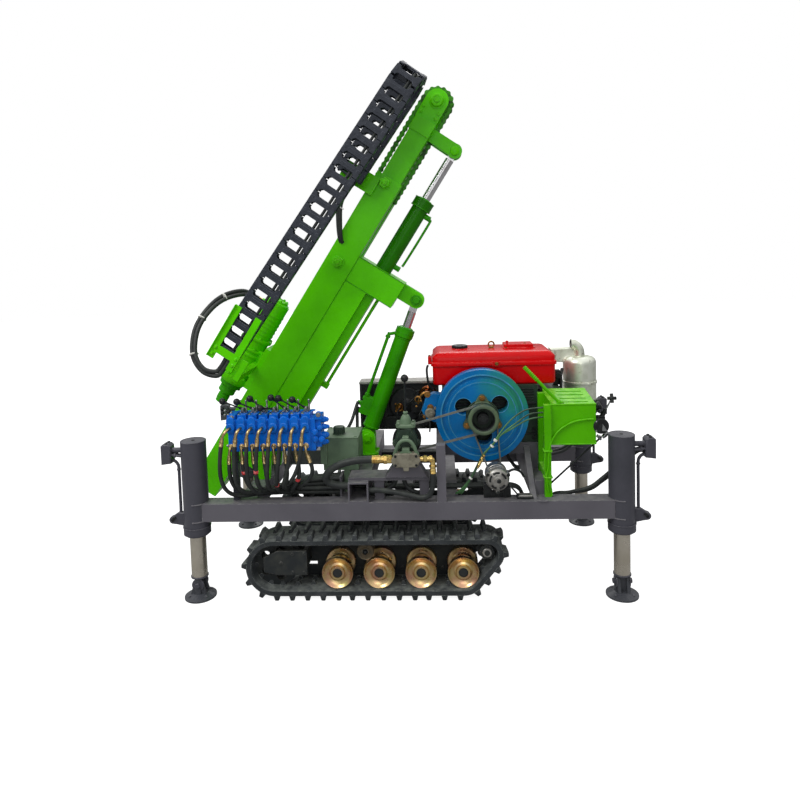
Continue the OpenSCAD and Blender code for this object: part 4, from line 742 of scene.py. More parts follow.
def makeValveHoses(look):
    hoses, sleeves, ties = [], [], []
    for j, z in enumerate(look["portZ"]):
        out = look["out"][j]
        for i in range(look["ports"]):
            x, y = look["firstX"] + look["gap"] * i, look["face"] - out
            way = np.array((look["slant"][j][i], 0.0, -1.0))
            way /= np.linalg.norm(way)
            top = np.array((x + look["shift"][j][i], y, z - 40.0))
            # elbow: a smooth bend from the port's axis down to the sleeve
            tube = bezierPath((x, look["face"] + 4, z), (x, y - 8, z + 2), top - way * 26, top + way * 6, 14)
            sleeves.append(swept(tube, 7.0 + 0.8 * (j == 1), 16))
            sleeves.append(moved(hexNut(13.5, 9), (x, look["face"] - 9, z), near, 0.2 * i))
            sleeves.append(moved(collar(15, 3), (x, look["face"] - 4, z), near))
            sleeves.append(moved(crimpSleeve(10.9, 42), top + way * 42, -way))
            start = top + way * 36
            end = np.array(look["bundle"]) + (0, 10 * (look["ports"] - 1 - i), 24 * (i % 2) + 48 * j)
            hang = (156 + 126 * j) * (1 + 0.08 * (look["ports"] - 1 - i))  # the outer hoses hang lower
            path = hosePath(start, way * hang, end, (-400, 0, 0), 34)
            radius = look["hose"] + 0.25 * np.sin(1.7 * np.arange(len(path)))
            hoses.append(swept(path, radius, 16))
            if (i, j) in ((1, 0), (3, 1), (6, 0), (4, 0)):
                spot, way = atLength(path, 42 if i < 3 else 170 - 14 * i)
                ties.append(moved(collar(11.9, 15, 20), spot, way))
    addPiece("valveHoses", join(*hoses), hoseRubber, "root", 60, ["valve_hoses"])
    addPiece("valveElbows", join(*sleeves), fittingZinc, "root", 32, ["port_fittings"])
    addPiece("hoseTies", join(*ties), tieRed, "root", 60)


makeValveHoses(valves)

# Hand levers: fork and pin on each section's cap, a thin stem and a phenolic ball
levers = {"firstX": -802.0, "y": -405.0, "ball": 17.0, "pump": (12.0, -430.0, 911.3, 178.0),
          "lean": ((68, 110, 0), (62, 90, 16), (53, 86, 0), (80, 76, 38), (51, 88, 0), (56, 98, 10), (54, 81, 15))}


def makeLevers(look):
    metal, knobs, stems = [], [], []
    top = valves["capTop"]
    for i, (lean, length, turn) in enumerate(look["lean"]):
        x, y, a, b = look["firstX"] + valves["gap"] * i, look["y"], np.radians(lean), np.radians(turn)
        foot = np.array((x, y, top + 18.3))
        way = np.array((-np.sin(a) * np.cos(b), -np.sin(a) * np.sin(b), np.cos(a)))
        metal.append(boxShape((x - 14, x + 14), (y - 10, y + 10), (top, top + 5), 1))
        for side in (-1, 1):  # fork cheeks with a rounded top, and their screws
            ring = np.linspace(0, np.pi, 9)
            cheek = np.concatenate([[(x + 7, top + 4)],
                                    np.column_stack([x + 7 * np.cos(ring), top + 20 + 7 * np.sin(ring)]),
                                    [(x - 7, top + 4)]])
            metal.append(across(slab(cheek, *sorted((-y + side * 7, -y + side * 11)), 0.8)))
            metal.append(nutOn((x + side * 10, y - 5 * side, top + 5), (0, 0, 1), 4.6, 4))
        metal.append(rod((x, y - 13, top + 20), (x, y + 13, top + 20), 3.4, 14))
        metal.append(nutOn((x, y - 11, top + 20), near, 5.5, 4))
        metal.append(turned([(0, 0), (6, 0), (6, 30), (4, 34), (4, 48), (5.5, 50), (5.5, 56), (2, 60), (0, 60)], 18,
                            (x + 13, y + 12, top + 2)))
        stems.append(rod(foot - way * 3, foot + way * 20, 6.0, 16))
        stems.append(rod(foot + way * 18, foot + way * length * 0.96, 3.6, 14))
        knobs.append(moved(ball(look["ball"]), foot + way * length))
        knobs.append(turned([(0, 0), (6, 0), (8, 8), (0, 10)], 20, foot + way * (length - 24), way))
    x, y, z, high = look["pump"]  # clutch lever of the pump drive
    stems.append(rod((x, y, z), (x, y, z + high), 5, 16))
    stems.append(turned([(0, 0), (9, 0), (9, 10), (6, 14), (0, 14)], 20, (x, y, z)))
    knobs.append(moved(ball(19), (x, y, z + high)))
    addPiece("leverForks", join(*metal), brightZinc, "root", 34, ["hand_levers"])
    addPiece("leverStems", join(*stems), oilyBlack, "root", 40)
    addPiece("leverKnobs", join(*knobs), knobBlack, "root", 60)


makeLevers(levers)


def makeValveTrim():
    # raised section faces with hooded port bosses, lugs at both ends, relief valves and tie-rod nuts
    blue, steel, small = [], [], []
    arc = np.linspace(0, np.pi, 11)
    for i in range(valves["ports"]):
        x = valves["firstX"] + valves["gap"] * i
        blue.append(boxShape((x - (13 if i == 0 else 23.5), x + 23.5), (-465, -458), (747, 902), 2.4))
        hood = np.concatenate([np.column_stack([x + 20 * np.cos(arc), 899 + 22 * np.sin(arc)]),
                               [(x - 20, 848), (x - 13, 838), (x + 13, 838), (x + 20, 848)]])
        blue.append(across(slab(hood, 463, 474, 4)))
        blue.append(moved(collar(21, 11, 32), (x, -465, 866), near))
        blue.append(moved(collar(16, 4, 28), (x, -463, 771), near))
        blue.append(turned([(0, 0), (15, 0), (15, 6), (11, 10), (0, 10)], 28, (x, -405, 746), (0, 0, -1)))
        blue.append(moved(collar(15, 5, 28), (x + 22, -378, 925)))
        steel.append(moved(boltHead(6), (x - 15, -444, 926)))
    for x, z in ((-843, 915), (-413, 924)):  # lifting lugs with a bright bolt
        lug = np.concatenate([np.column_stack([x + 15 * np.cos(arc), z + 15 * np.sin(arc)]),
                              [(x - 17, z - 26), (x + 17, z - 26)]])
        blue.append(across(slab(lug, 446, 462, 2.5)))
        steel.append(moved(boltHead(9, 7), (x, -462, z), near))
    for y in (-440, -370):
        for z in (770, 885):
            steel.append(nutOn((-862, y, z), (-1, 0, 0), 11, 9))
            steel.append(rod((-862, y, z), (-880, y, z), 5.5, 16))
    # right end section: round bosses with plugs, seen from the side
    for x, z, r, reach in ((-404, 892, 15, 30), (-404, 856, 13, 34), (-404, 815, 17, 30), (-404, 780, 14, 26)):
        blue.append(moved(collar(r, reach * 0.7, 28), (x, -428, z), (1, 0, 0)))
        blue.append(moved(hexNut(r * 0.82, 12), (x + reach * 0.7 + 5, -428, z), (1, 0, 0)))
        blue.append(moved(collar(r * 0.45, 6, 20), (x + reach * 0.7 + 9, -428, z), (1, 0, 0)))
    for x, z, r in ((-432, 836, 17), (-432, 801, 16), (-408, 858, 13), (-400, 800, 15)):
        blue.append(moved(collar(r, 12, 28), (x, -452, z), near))
        blue.append(moved(hexNut(r * 0.7, 8), (x, -466, z), near))
    # plated spool ends with dark knobs behind the left end
    for x, z, r in ((-908, 945, 11), (-909, 923, 9), (-877, 931, 9), (-869, 899, 8)):
        small.append(moved(ball(r, 20), (x, -400, z)))
        small.append(rod((x, -400, z), (-858, -400, z - 22), 5, 14))
        steel.append(moved(collar(7.5, 9, 20), (x + 8, -400, z - 6), (0.9, 0, -0.4)))
    addPiece("valveCaps", join(*blue), castBlue, "root", 36)
    addPiece("valveScrews", join(*steel), brightZinc, "root", 34)
    addPiece("spoolEnds", join(*small), oilyBlack, "root", 50)


makeValveTrim()
print("valve block, hoses and levers done")

# Mast: bolts through the box, head boss, bracket screws, cylinder glands and the hoses off the chain's far end
mastTrim = {"boltW": -1194.0, "boltU": (1211.0, 1695.0), "side": 110.0, "head": (-1187.0, 2208.0), "cheek": 74.0,
            "pivot": (-787.6, 702.2), "eye": (-730.0, 1247.0), "slidePin": (-972.0, 2038.0)}


def onMast(w, y, u):
    return leaning(np.array((w, y, u), float))


def mastRod(a, b, radius, sides=24):
    return rod(onMast(*a), onMast(*b), radius, sides)


def mastBox(w, y, u, bevel=2.0):
    p, f = boxShape(w, y, u, bevel)
    return leaning(p), f


def makeMastTrim(look):
    mast, cradle, root, tail = [], [], [], []
    w, side = look["boltW"], look["side"]
    for s in (-1, 1):
        for u in look["boltU"]:
            at = onMast(w, s * side, u)
            mast += [moved(collar(35, 5, 40), at, (0, s, 0)), moved(boltHead(29, 36, False), at, (0, s, 0), 0.3),
                     moved(collar(15, 46), at, (0, s, 0)), moved(collar(10, 50), at, (0, s, 0))]
        hw, hu = look["head"]
        rings = [(0, 0), (44, 0), (44, 2.5), (35, 4), (33, 16.5), (29, 19), (21, 19), (19, 16.5), (13, 16.5),
                 (13, 23), (0, 23)]
        mast.append(turned(rings, 48, onMast(hw, s * look["cheek"], hu), (0, s, 0)))
        mast += [moved(boltHead(7, 5), onMast(hw + x, s * look["cheek"], u), (0, s, 0))
                 for x in (-44, 44) for u in (2120, 2150)]
        pw, pu = look["slidePin"]
        mast.append(turned([(0, 0), (24, 0), (24, 3), (18, 6), (0, 6)], 32, onMast(pw, s * 46, pu), (0, s, 0)))
        ew, eu = look["eye"]
        cradle += [moved(collar(30, 4, 40), onMast(ew, s * 47.5, eu), (0, s, 0)),
                   moved(boltHead(20, 12, False), onMast(ew, s * 47.5, eu), (0, s, 0), 0.2)]
        px, pz = look["pivot"]
        root += [moved(collar(40, 5, 48), (px, s * 139, pz), (0, s, 0)),
                 moved(boltHead(30, 18, False), (px, s * 139, pz), (0, s, 0), 0.4)]
        # grease nipple and keeper plate by the pivot
        root += [moved(boltHead(8, 6), (px + dx, s * 133, pz - 40), (0, s, 0)) for dx in (-28, 28)]
    mast += [moved(boltHead(9, 8), onMast(-1282, -139.5, u), near) for u in (1630, 1668)]
    # cap strips at the box's rims, seen as the light line along its upper end
    for s in (-1, 1):
        mast.append(mastBox((-1263.5, -1234), sorted((s * 84, s * 111.5)), (1727, 1733), 1))
    # weld beads: two short runs of overlapping ripples round the cross box
    for u in (1147, 1293):
        bead = np.array([onMast(w, -110.5, u) for w in np.linspace(-1108, -830, 90)])
        cradle.append(swept(bead, 2.4 + 0.5 * np.sin(np.arange(90) * 1.9), 8))
    # slide cylinder's gland and ports
    c = look["slidePin"][0]
    for u, r in ((1683, 58.5), (1731, 57.5)):
        cradle.append(turned([(46.5, 0), (r, 0), (r, 4), (46.5, 4)], 48, onMast(c, 0, u), onMast(0, 0, 1)))
    cradle.append(turned([(25, 0), (40, 0), (40, 5), (34, 9), (25, 9)], 40, onMast(c, 0, 1733), onMast(0, 0, 1)))
    for u in (1340, 1660):
        cradle += [mastRod((c + 30, 0, u), (c + 66, 0, u), 15, 28),
                   moved(hexNut(15, 12), onMast(c + 72, 0, u), onMast(1, 0, 0))]
    pipe = [onMast(c + 72, 0, 1660), onMast(c + 80, 0, 1655), onMast(c + 84, 0, 1640), onMast(c + 84, 0, 1500),
            onMast(c + 82, 0, 1390), onMast(c + 80, 0, 1362)]
    cradle.append(cord(pipe, 7, 14))
    addPiece("mastBolts", join(*mast), greenEnamel, "mast", 32)
    addPiece("cradleTrim", join(*cradle), greenTube, "cradle", 36)
    addPiece("pivotTrim", join(*root), greenEnamel, "root", 32)
    # two hoses from the far run's end into the mast's side, tied together
    for k in (0, 1):
        line = [dragFrame(np.array((24.0 + 18 * k, -165.0, 1112.0)), dragChain), onMast(-1352 + 15 * k, -158, 1545),
                onMast(-1344 + 15 * k, -150, 1475), onMast(-1290 + 12 * k, -134, 1380),
                onMast(-1250 + 8 * k, -124, 1325),
                onMast(-1236 + 8 * k, -109, 1310)]
        tail.append(cord(line, 11, 16))
    addPiece("chainTailHoses", join(*tail), hoseRubber, "mast", 60)
    tie = mastBox((-1340, -1306), (-162, -140), (1462, 1467), 1)
    addPiece("chainTailTie", tie, tieWhite, "mast", 40)


makeMastTrim(mastTrim)

# Drill head: flanges with bolts, motor fins, spindle nose, bar bolts and the double hose loop with ties
drill = {"axis": -1376.0, "ports": (-24.0, 24.0), "portU": 790.0, "hoseEnd": ((-1402.0, -360.0), (-1383.0, -360.0)),
         "hose": 11.5, "foot": 513.7}


def makeDrill(look):
    a, turning, parts, bars = look["axis"], [], [], []
    up = onMast(0, 0, 1)

    def ringOf(profile):  # profile of (radius, u) round the drill axis, left open
        return turned(profile, 72, onMast(a, 0, 0), up)

    # rounded rims on the flanges, a shallow groove on the motor, cap with a step
    parts += [ringOf([(80, 371), (97.5, 371), (98, 367), (98, 340), (96.5, 336), (80, 336)]),
              ringOf([(60, 498), (85, 503), (86, 507), (86, 516), (84, 519), (60, 519)]),
              ringOf([(60, 534), (84, 534), (86, 537), (86, 546), (84, 549), (60, 549)]),
              ringOf([(60, 599), (82, 599), (83.5, 603), (83.5, 613), (82, 617), (60, 617)])]
    parts += [ringOf([(60, u), (70.5, u), (70.5, u + 6), (60, u + 6)]) for u in (640, 664, 688, 712, 736, 760)]
    parts += [ringOf([(30, 828), (62, 828), (62, 836), (52, 842), (52, 852), (30, 852)]),
              ringOf([(60, 395), (83, 398), (83, 404), (60, 407)]),
              ringOf([(60, 440), (83, 443), (83, 449), (60, 452)])]
    for count, radius, u, size in ((12, 89, 373, 7.5), (8, 78, 550, 6), (8, 75.5, 618, 6), (8, 42, 853, 6)):
        for k in range(count):
            t = 2 * np.pi * (k + 0.5) / count
            parts.append(moved(boltHead(size, 6), onMast(a + radius * np.cos(t), radius * np.sin(t), u), up))
    for u, t in ((420, 2.2), (470, 3.6), (575, 3.2)):  # oil plugs
        out = onMast(np.cos(t), np.sin(t), 0)
        parts.append(moved(boltHead(11, 8), onMast(a + 79 * np.cos(t), 79 * np.sin(t), u), out))
    for y in look["ports"]:
        parts.append(moved(hexNut(17, 14), onMast(a - 84, y, look["portU"]), onMast(1, 0, 0)))
    addPiece("drillTrim", join(*parts), greenEnamel, "carriage", 34)
    turning += [ringOf([(40, 317), (66, 317), (66, 309), (63, 306), (40, 306)]),
                ringOf([(30, 289), (47, 289), (47, 270), (45.5, 268), (45.5, 262), (47, 260), (47, 247),
                        (30, 240)])]
    turning += [ringOf([(20, u), (32.5, u), (33.5, u + 4), (32.5, u + 8), (20, u + 8)]) for u in (196, 208, 220)]
    turning += [moved(boltHead(7, 6), onMast(a + 55 * np.cos(t), 55 * np.sin(t), 292), onMast(0, 0, -1))
                for t in np.arange(6) * np.pi / 3]
    addPiece("spindleTrim", join(*turning), greenTube, "spindle", 34)
    for w, u in ((-1471, 545), (-1471, 508), (-1350, 542), (-1350, 506)):
        bars += [moved(boltHead(9, 7), onMast(w, -370, u), near), moved(collar(6, 10), onMast(w, -370, u), near)]
    bars += [mastBox((w, w + 4), (-382, -370), (u0, u1), 1) for w, u0, u1 in ((-1491, 485, 783), (-1339, 473, 778))]
    addPiece("barBolts", join(*bars), greenEnamel, "carriage", 34)
    hoses, ties, centre = [], [], None
    for k, y in enumerate(look["ports"]):
        b = np.array([*look["hoseEnd"][k], look["foot"]])
        s = 1 - 2 * k
        g = 21 * k  # the outer hose lies beside the inner one
        line = [(a - 88, y, 790), (a - 120, y * 0.7, 792), (a - 182 - g * 0.6, -40 + 10 * k, 778 + g * 0.7),
                (a - 236 - g, -120 - 9 * s, 720 + g * 0.5), (a - 254 - g, -200 - 9 * s, 640),
                (a - 238 - g, -268 - 9 * s, 540 - g * 0.4), (a - 176 - g * 0.7, -318 - 9 * s, 444 - g * 0.8),
                (a - 100, -340 - 7 * s, 408 - g), (b[0] - 14, -345, 424 - g * 0.7), (b[0], b[1] + 16, 460),
                (b[0], b[1] + 18, look["foot"] + 24)]
        path = smoothPath([onMast(*p) for p in line], 9)
        centre = path if centre is None else (centre + path) / 2
        hoses.append(swept(path, look["hose"], 16))
        ties.append(mastRod((a - 86, y, 790), (a - 112, y * 0.85, 791), 12.5, 24))
    # the loop's two bodies and its end points at the chain's foot and the head; addPiece bakes the loop and its
    # ties in place
    ends = ("mast", "carriage", onMast(a - 180, -330, 500).tolist(), onMast(a - 100, -10, 785).tolist())
    addPiece("headHoses", join(*hoses), hoseRubber, ends, 60, ["head_hoses"])
    addPiece("headHoseSleeves", join(*ties), fittingZinc, "carriage", 40)
    wraps = []
    for share in (0.30, 0.44, 0.60):
        k = int(share * len(centre))
        way = centre[k + 1] - centre[k - 1]
        wraps.append(turned([(0, -3), (23, -3), (24, -1), (24, 1), (23, 3), (0, 3)], 28, centre[k], way))
    addPiece("headHoseTies", join(*wraps), tieWhite, ends, 60)


makeDrill(drill)
print("mast and drill head done")

# Pump on its table: domed neck with a bolted flange, yoke, lobed gear pump, fittings and the deck's hoses
pump = {"x": 12.0, "y": -430.0, "gearZ": 707.0, "fitY": -494.0, "stub": (-277.0, -177.0), "tableTop": 604.0,
        "half": [(35, 853), (36, 838), (46, 815), (54, 792), (56, 768), (52, 744), (45, 718), (44, 690)]}


def mirrorX(outline, x0):  # an outline's right half with its mirror image on the left
    half = np.asarray(outline, float)
    return np.concatenate([half, (half * (-1, 1) + (2 * x0, 0))[::-1]])


def makePump(look):
    x, y, body, pale, metal = look["x"], look["y"], [], [], []
    # housing: narrow neck swelling to the shaft's height, on a wide foot
    curve = smoothPath(look["half"], 4) + (x, 0)
    body.append(across(slab(mirrorX(curve, x), 390, 472, 8)))
    body += [turned([(0, 0), (44, 0), (44, 4), (38, 9), (26, 12), (0, 12)], 48, (x, -466, 768), near),
             rod((x, -392, 765), (x, -375.5, 765), 30, 40)]
    for s in (-1, 1):  # ears at the shaft's height
        body.append(moved(collar(14, 30), (x + s * 54, y - 20, 772), (0, 1, 0)))
        body.append(moved(boltHead(8, 6), (x + s * 54, y - 21, 772), near))
    # bolted flange and dome under the lever
    flange = roundOutline((x - 47, x + 47), (y - 40, y + 40), 14)
    pale.append(slab(flange, 851, 866, 2.5))
    pale += [moved(boltHead(9, 8), (x + sx * 36, y + sy * 29, 866)) for sx in (-1, 1) for sy in (-1, 1)]
    pale.append(turned([(0, 0), (29, 0), (29, 5), (26, 12), (26.5, 20), (22, 32), (16, 43), (0, 44)], 40,
                       (x, y, 865)))
    pale.append(turned([(0, 0), (9, 0), (9, 6), (12, 9), (12, 14), (9, 18), (0, 18)], 28, (x, y, 908)))
    # yoke: a bent strap over the gear pump
    path = smoothPath([(x - 52, -499, 724), (x - 48, -500, 750), (x - 36, -501, 779), (x - 16, -502, 799),
                       (x + 16, -502, 799),
                       (x + 36, -501, 779), (x + 48, -500, 750), (x + 52, -499, 724)], 6)
    pale.append(swept(path, 8.5, 16))
    pale += [boxShape((x - 15, x + 15), (-506, -472), (796, 818), 3),
             boxShape((x - 18, x + 18), (-507, -474), (736, 762), 3)]
    for s in (-1, 1):
        pale.append(cord([(x + s * 52, -500, 734), (x + s * 36, -502, 726), (x + s * 16, -502, 744)], 7, 14, 6))
        pale.append(moved(boltHead(7, 6), (x + s * 34, -480, 764), near))
        pale.append(moved(collar(11, 24), (x + s * 52, -478, 730), near))
    foot = [(x - 108, look["tableTop"]), (x + 104, look["tableTop"]), (x + 50, 694), (x - 50, 694)]
    addPiece("pumpFoot", across(slab(foot, 391, 469, 4)), frameGrey, "root", 36)
    addPiece("pumpHousing", join(*body), engineGreen, "root", 36, ["pump_drive"])
    addPiece("pumpTrim", join(*pale), paleGreen, "root", 36)
    # gear pump: four lobes in outline, r = 33 + 3 cos 4t round each gear, with a split line and screws
    t = np.linspace(-np.pi / 2, np.pi / 2, 25)
    lobe = np.column_stack([x + 34 + (34 + 2.2 * np.cos(6 * t)) * np.cos(t),
                            look["gearZ"] + (35.5 + 2.2 * np.cos(6 * t)) * np.sin(t)])
    outline = mirrorX(lobe, x)
    metal += [across(slab(outline, 474, 488, 1.5)), across(slab(outline, 489.5, 505, 1.5)),
              across(slab(outline, 506.5, 520.5, 2.5))]
    metal.append(across(slab([(x - 12, 655), (x + 12, 655), (x + 16, 675), (x - 16, 675)], 478, 519, 2)))
    addPiece("gearPumpLobes", join(*metal), pumpIron, "root", 34, ["gear_pump"])
    screws = [moved(boltHead(7, 6, False), (x + sx * 50, -520, look["gearZ"] + sz * 22), near)
              for sx in (-1, 1) for sz in (-1, 1)]
    addPiece("gearPumpScrews", join(*screws), oilyBlack, "root", 34)
    # fittings: hex, neck and long sleeve to the left; elbow with two hexes to the right
    y, z = look["fitY"], look["gearZ"]
    brass = [moved(hexNut(21, 26), (x - 80, y, z), (1, 0, 0)), rod((x - 66, y, z), (x - 100, y, z), 14, 28),
             moved(hexNut(23, 20), (x - 100, y, z), (1, 0, 0), 0.5),
             moved(crimpSleeve(20, 56), (x - 166, y, z), (1, 0, 0)),
             rod((x + 62, y, z), (x + 84, y, z), 12, 28), moved(hexNut(17, 18), (x + 92, y, z), (1, 0, 0)),
             cord([(x + 98, y, z), (x + 116, y, z), (x + 127, y, z - 6), (x + 128, y, z - 22),
                   (x + 128, y, z - 34)], 13, 20, 6),
             moved(collar(17, 15), (x + 112, y, z), (1, 0, 0)), moved(hexNut(18, 15), (x + 128, y, z - 36)),
             moved(crimpSleeve(15.5, 30), (x + 128, y, z - 72))]
    addPiece("pumpFittings", join(*brass), fittingBrass, "root", 34)
    # hoses: suction loop into the stub tube's left wall, pressure hose sagging to its right wall
    suction = hosePath((x - 164, y, z), (-226, 0, 2), (look["stub"][0] - 0.5, -440, 560), (-196, 0, 0), 40)
    pressure = hosePath((x + 128, y, z - 66), (0, 0, -212), (look["stub"][1] + 0.5, -462, 545), (230, 0, 0), 40)
    third = smoothPath([(-42, -405, 603), (-44, -408, 585), (-58, -412, 555), (-90, -412, 530), (-130, -408, 512),
                        (-176.5, -400, 508)], 8)
    fourth = smoothPath([(-10, -402, 603), (-8, -404, 580), (6, -408, 545), (34, -410, 520), (64, -404, 508)], 8)
    hoses = [swept(suction, 18, 24), swept(pressure, 13, 18), swept(third, 11, 16), swept(fourth, 11, 16)]
    addPiece("deckHoses", join(*hoses), hoseRubber, "root", 60, ["deck_hoses"])


pumpIron = makeFinish("greyPumpIron", {  # bare cast iron gone brown-grey with oil
    "colour": "#8a8676", "patch": "#6f6a5c", "patchSize": 24, "metallic": 0.3, "roughness": (0.4, 0.58),
    "edge": "#8d877c", "edgeWidth": 1.0, "grain": 2, "grainHeight": 0.25, "grainStrength": 0.4})
fittingBrass = makeFinish("machinedBrass", {  # bright pale yellow with mirror-like turned faces
    "colour": "#e6c97c", "patch": "#c79a55", "patchSize": 18, "metallic": 1.0, "roughness": (0.16, 0.3),
    "edgeWidth": 0.8, "edge": "#f3e2b0"})
makePump(pump)

cooler = {"fan": (-8.0, 838.0), "disc": (-49.0, 826.0, 24.0), "grille": (-274.0, 12, 140, 9),
          "fill": (-345.0, -260.0),
          "pipes": ([(-46, 66, 826), (-60, 50, 800), (-56, 46, 760), (-30, 60, 722)],
                    [(62, 66, 905), (30, 40, 880), (2, 40, 850), (-20, 60, 800)],
                    [(108, 66, 924), (128, 30, 890), (120, 0, 830), (126, -40, 760), (122, -60, 720)],
                    [(80, 66, 880), (88, 10, 850), (70, -20, 800), (92, -30, 740)])}


def makeCooler(look):
    # cooler box with its rim, shroud ring, hub with a brass disc, pipes and caps, and the oil tank's ribbed cap
    x, z = look["fan"]
    black = [turned([(88, 0), (100, 0), (100, 14), (94, 18), (88, 18)], 64, (x, 112, z), near),
             turned([(0, 0), (40, 0), (40, 10), (26, 16), (0, 16)], 40, (x, 96, z), near)]
    x0, first, last, gap = look["grille"]
    black += [boxShape((x0 + k, x0 + 4 + k), (80, 84), (712, 962), 0.8) for k in range(first, last, gap)]
    x, z, r = look["disc"]
    brass = [turned([(0, 0), (r, 0), (r, 5), (r * 0.84, 8), (r * 0.6, 6), (r * 0.45, 11), (r * 0.3, 16), (0, 17)],
                    40, (x, 84, z), near)]
    brass += [moved(boltHead(4, 4), (x + r * 1.25 * np.cos(t), 86, z + r * 1.25 * np.sin(t)), near)
              for t in np.arange(4) * np.pi / 2 + 0.8]
    copper = [cord([(70, 60, 912), (92, 40, 940), (118, 30, 951), (146, 30, 940), (158, 30, 925)], 9, 16),
              moved(ball(15), (120, 24, 948)), moved(boltHead(10, 9), (112, 20, 930), near)]
    black += [cord(path, 4.5, 12) for path in look["pipes"]]
    black += [boxShape((60, 130), (20, 84), (730, 800), 4), boxShape((20, 100), (50, 84), (800, 860), 4),
              boxShape((-120, -20), (60, 84), (712, 780), 5), moved(collar(26, 30), (95, 20, 765), near)]
    black += [turned([(0, 0), (27, 0), (27, 6), (22, 10), (12, 10), (10, 15), (0, 15)], 40, (60, 82, 900), near)]
    addPiece("coolerCap", boxShape((-276, 180), (82, 193), (962, 977), 3), castAluminium, "root",
             36)
    addPiece("coolerTrim", join(*black), oilyBlack, "root", 36)
    addPiece("brassCaps", join(*brass), bronze, "root", 34)
    addPiece("copperPipe", join(*copper), copperPipe, "root", 44)
    # ribbed filler cap: r = 29 + 1.4 cos 18t
    t = np.arange(144) * 2 * np.pi / 144
    r = 29 + 1.4 * np.cos(18 * t)
    x, y = look["fill"]
    rows = [(0.97, 772), (1.0, 775), (1.0, 806), (0.92, 812), (0.5, 814), (0.02, 814.5)]
    cap = gridShape([np.column_stack([x + r * s * np.cos(t), y + r * s * np.sin(t), 0 * t + z]) for s, z in rows],
                    wrapColumns=True, capEnds=True)
    neck = turned([(30, 0), (34, 0), (34, 4), (30, 6)], 40, (x, y, 770))
    addPiece("oilTankCap", join(cap, neck), engineGreen, "root", 30)
    seams = [boxShape((-423, -237), (-333, -127), (766, 772), 2)]
    seams += [moved(boltHead(8, 6), (x, y, 771)) for x in (-408, -252) for y in (-318, -142)]
    addPiece("oilTankRim", join(*seams), paleGreen, "root", 34)


copperPipe = makeFinish("bareCopper", {  # reddish, polished where touched
    "colour": "#b8663a", "patch": "#7d4a33", "patchSize": 12, "metallic": 1.0, "roughness": (0.2, 0.36),
    "edgeWidth": 0.8})
makeCooler(cooler)

# Tilt cylinder: rod gland, weld rings, valve box with its fitting and the two hoses leaving it
tilt = {"base": (-226.0, 689.0), "lean": 21.2, "length": 640.0, "block": (-92.0, 162.0), "pipe": -80.0}


def makeTilt(look):
    bx, bz = look["base"]
    lean = np.radians(look["lean"])
    along, back = np.array((np.sin(lean), 0, np.cos(lean))), np.array((np.cos(lean), 0, -np.sin(lean)))
    side, mid, pipe, end = *look["block"], look["pipe"], look["length"]

    def spot(out, y, up):
        return np.array((bx, y, bz)) + back * out + along * up

    green = [turned([(45, 0), (48, 2), (48, 8), (45, 10)], 48, spot(0, 0, u), along) for u in (56, end - 58)]
    green.append(turned([(45, 0), (53.5, 0), (53.5, 4), (45, 4)], 48, spot(0, 0, end - 26), along))
    green.append(turned([(24.4, 0), (40, 0), (40, 5), (32, 10), (24.4, 10)], 40, spot(0, 0, end), along))
    for k in (-1, 1):
        green += [moved(boltHead(7, 6), spot(side, k * 15, mid + s * 36), -back) for s in (-1, 1)]
    green += [moved(hexNut(15, 12), spot(side - 6, 0, mid), back),
              moved(collar(11, 22), spot(side - 4, 0, mid), -back)]
    green += [moved(hexNut(14, 14), spot(pipe, 0, 222), along),
              moved(hexNut(14, 14), spot(pipe, 0, end - 74), along)]
    addPiece("tiltTrim", join(*green), greenTube, "tilt_barrel", 34)
    bracket = [boxShape((bx - 60, bx + 60), (-52, 52), (590, 600), 2)]
    for k in (-1, 1):  # pin ends on the bracket's cheeks
        bracket += [moved(collar(34, 5, 40), (bx, k * 38.5, bz), (0, k, 0)),
                    moved(boltHead(24, 13, False), (bx, k * 41.5, bz), (0, k, 0), 0.2)]
    bracket += [moved(boltHead(9, 8), (bx + sx * 50, sy * 44, 600)) for sx in (-1, 1) for sy in (-1, 1)]
    addPiece("tiltBracketTrim", join(*bracket), greenEnamel, "root", 34)
    a = spot(side - 20, 0, mid)
    for name, lift, low in (("tiltHoseA", (0, -14, 6), (-384, -60, 621)),
                            ("tiltHoseB", (0, 12, -30), (-300, -40, 603))):
        start, end = a + lift, np.array(low)
        line = [start, start + (-10, -6, -24), start * 0.62 + end * 0.38 + (2, -18, -10), end + (14, -6, 60),
                end, end + (-8, 6, -34)]
        addPiece(name, cord(line, 9, 16), hoseRubber, ("root", "tilt_barrel", low, start.tolist()),
                 60)


makeTilt(tilt)
print("pump, cooler and tilt cylinder done")

# Engine: flywheel with its pulley, blue lug, cooling fins, red tank and alternator
engine = {"wheel": (395.0, -300.0, 865.0), "holeRing": 106.0, "holeTurn": 33.0, "tipRing": 92.0,
          "pulley": (-314.0, -390.0)}


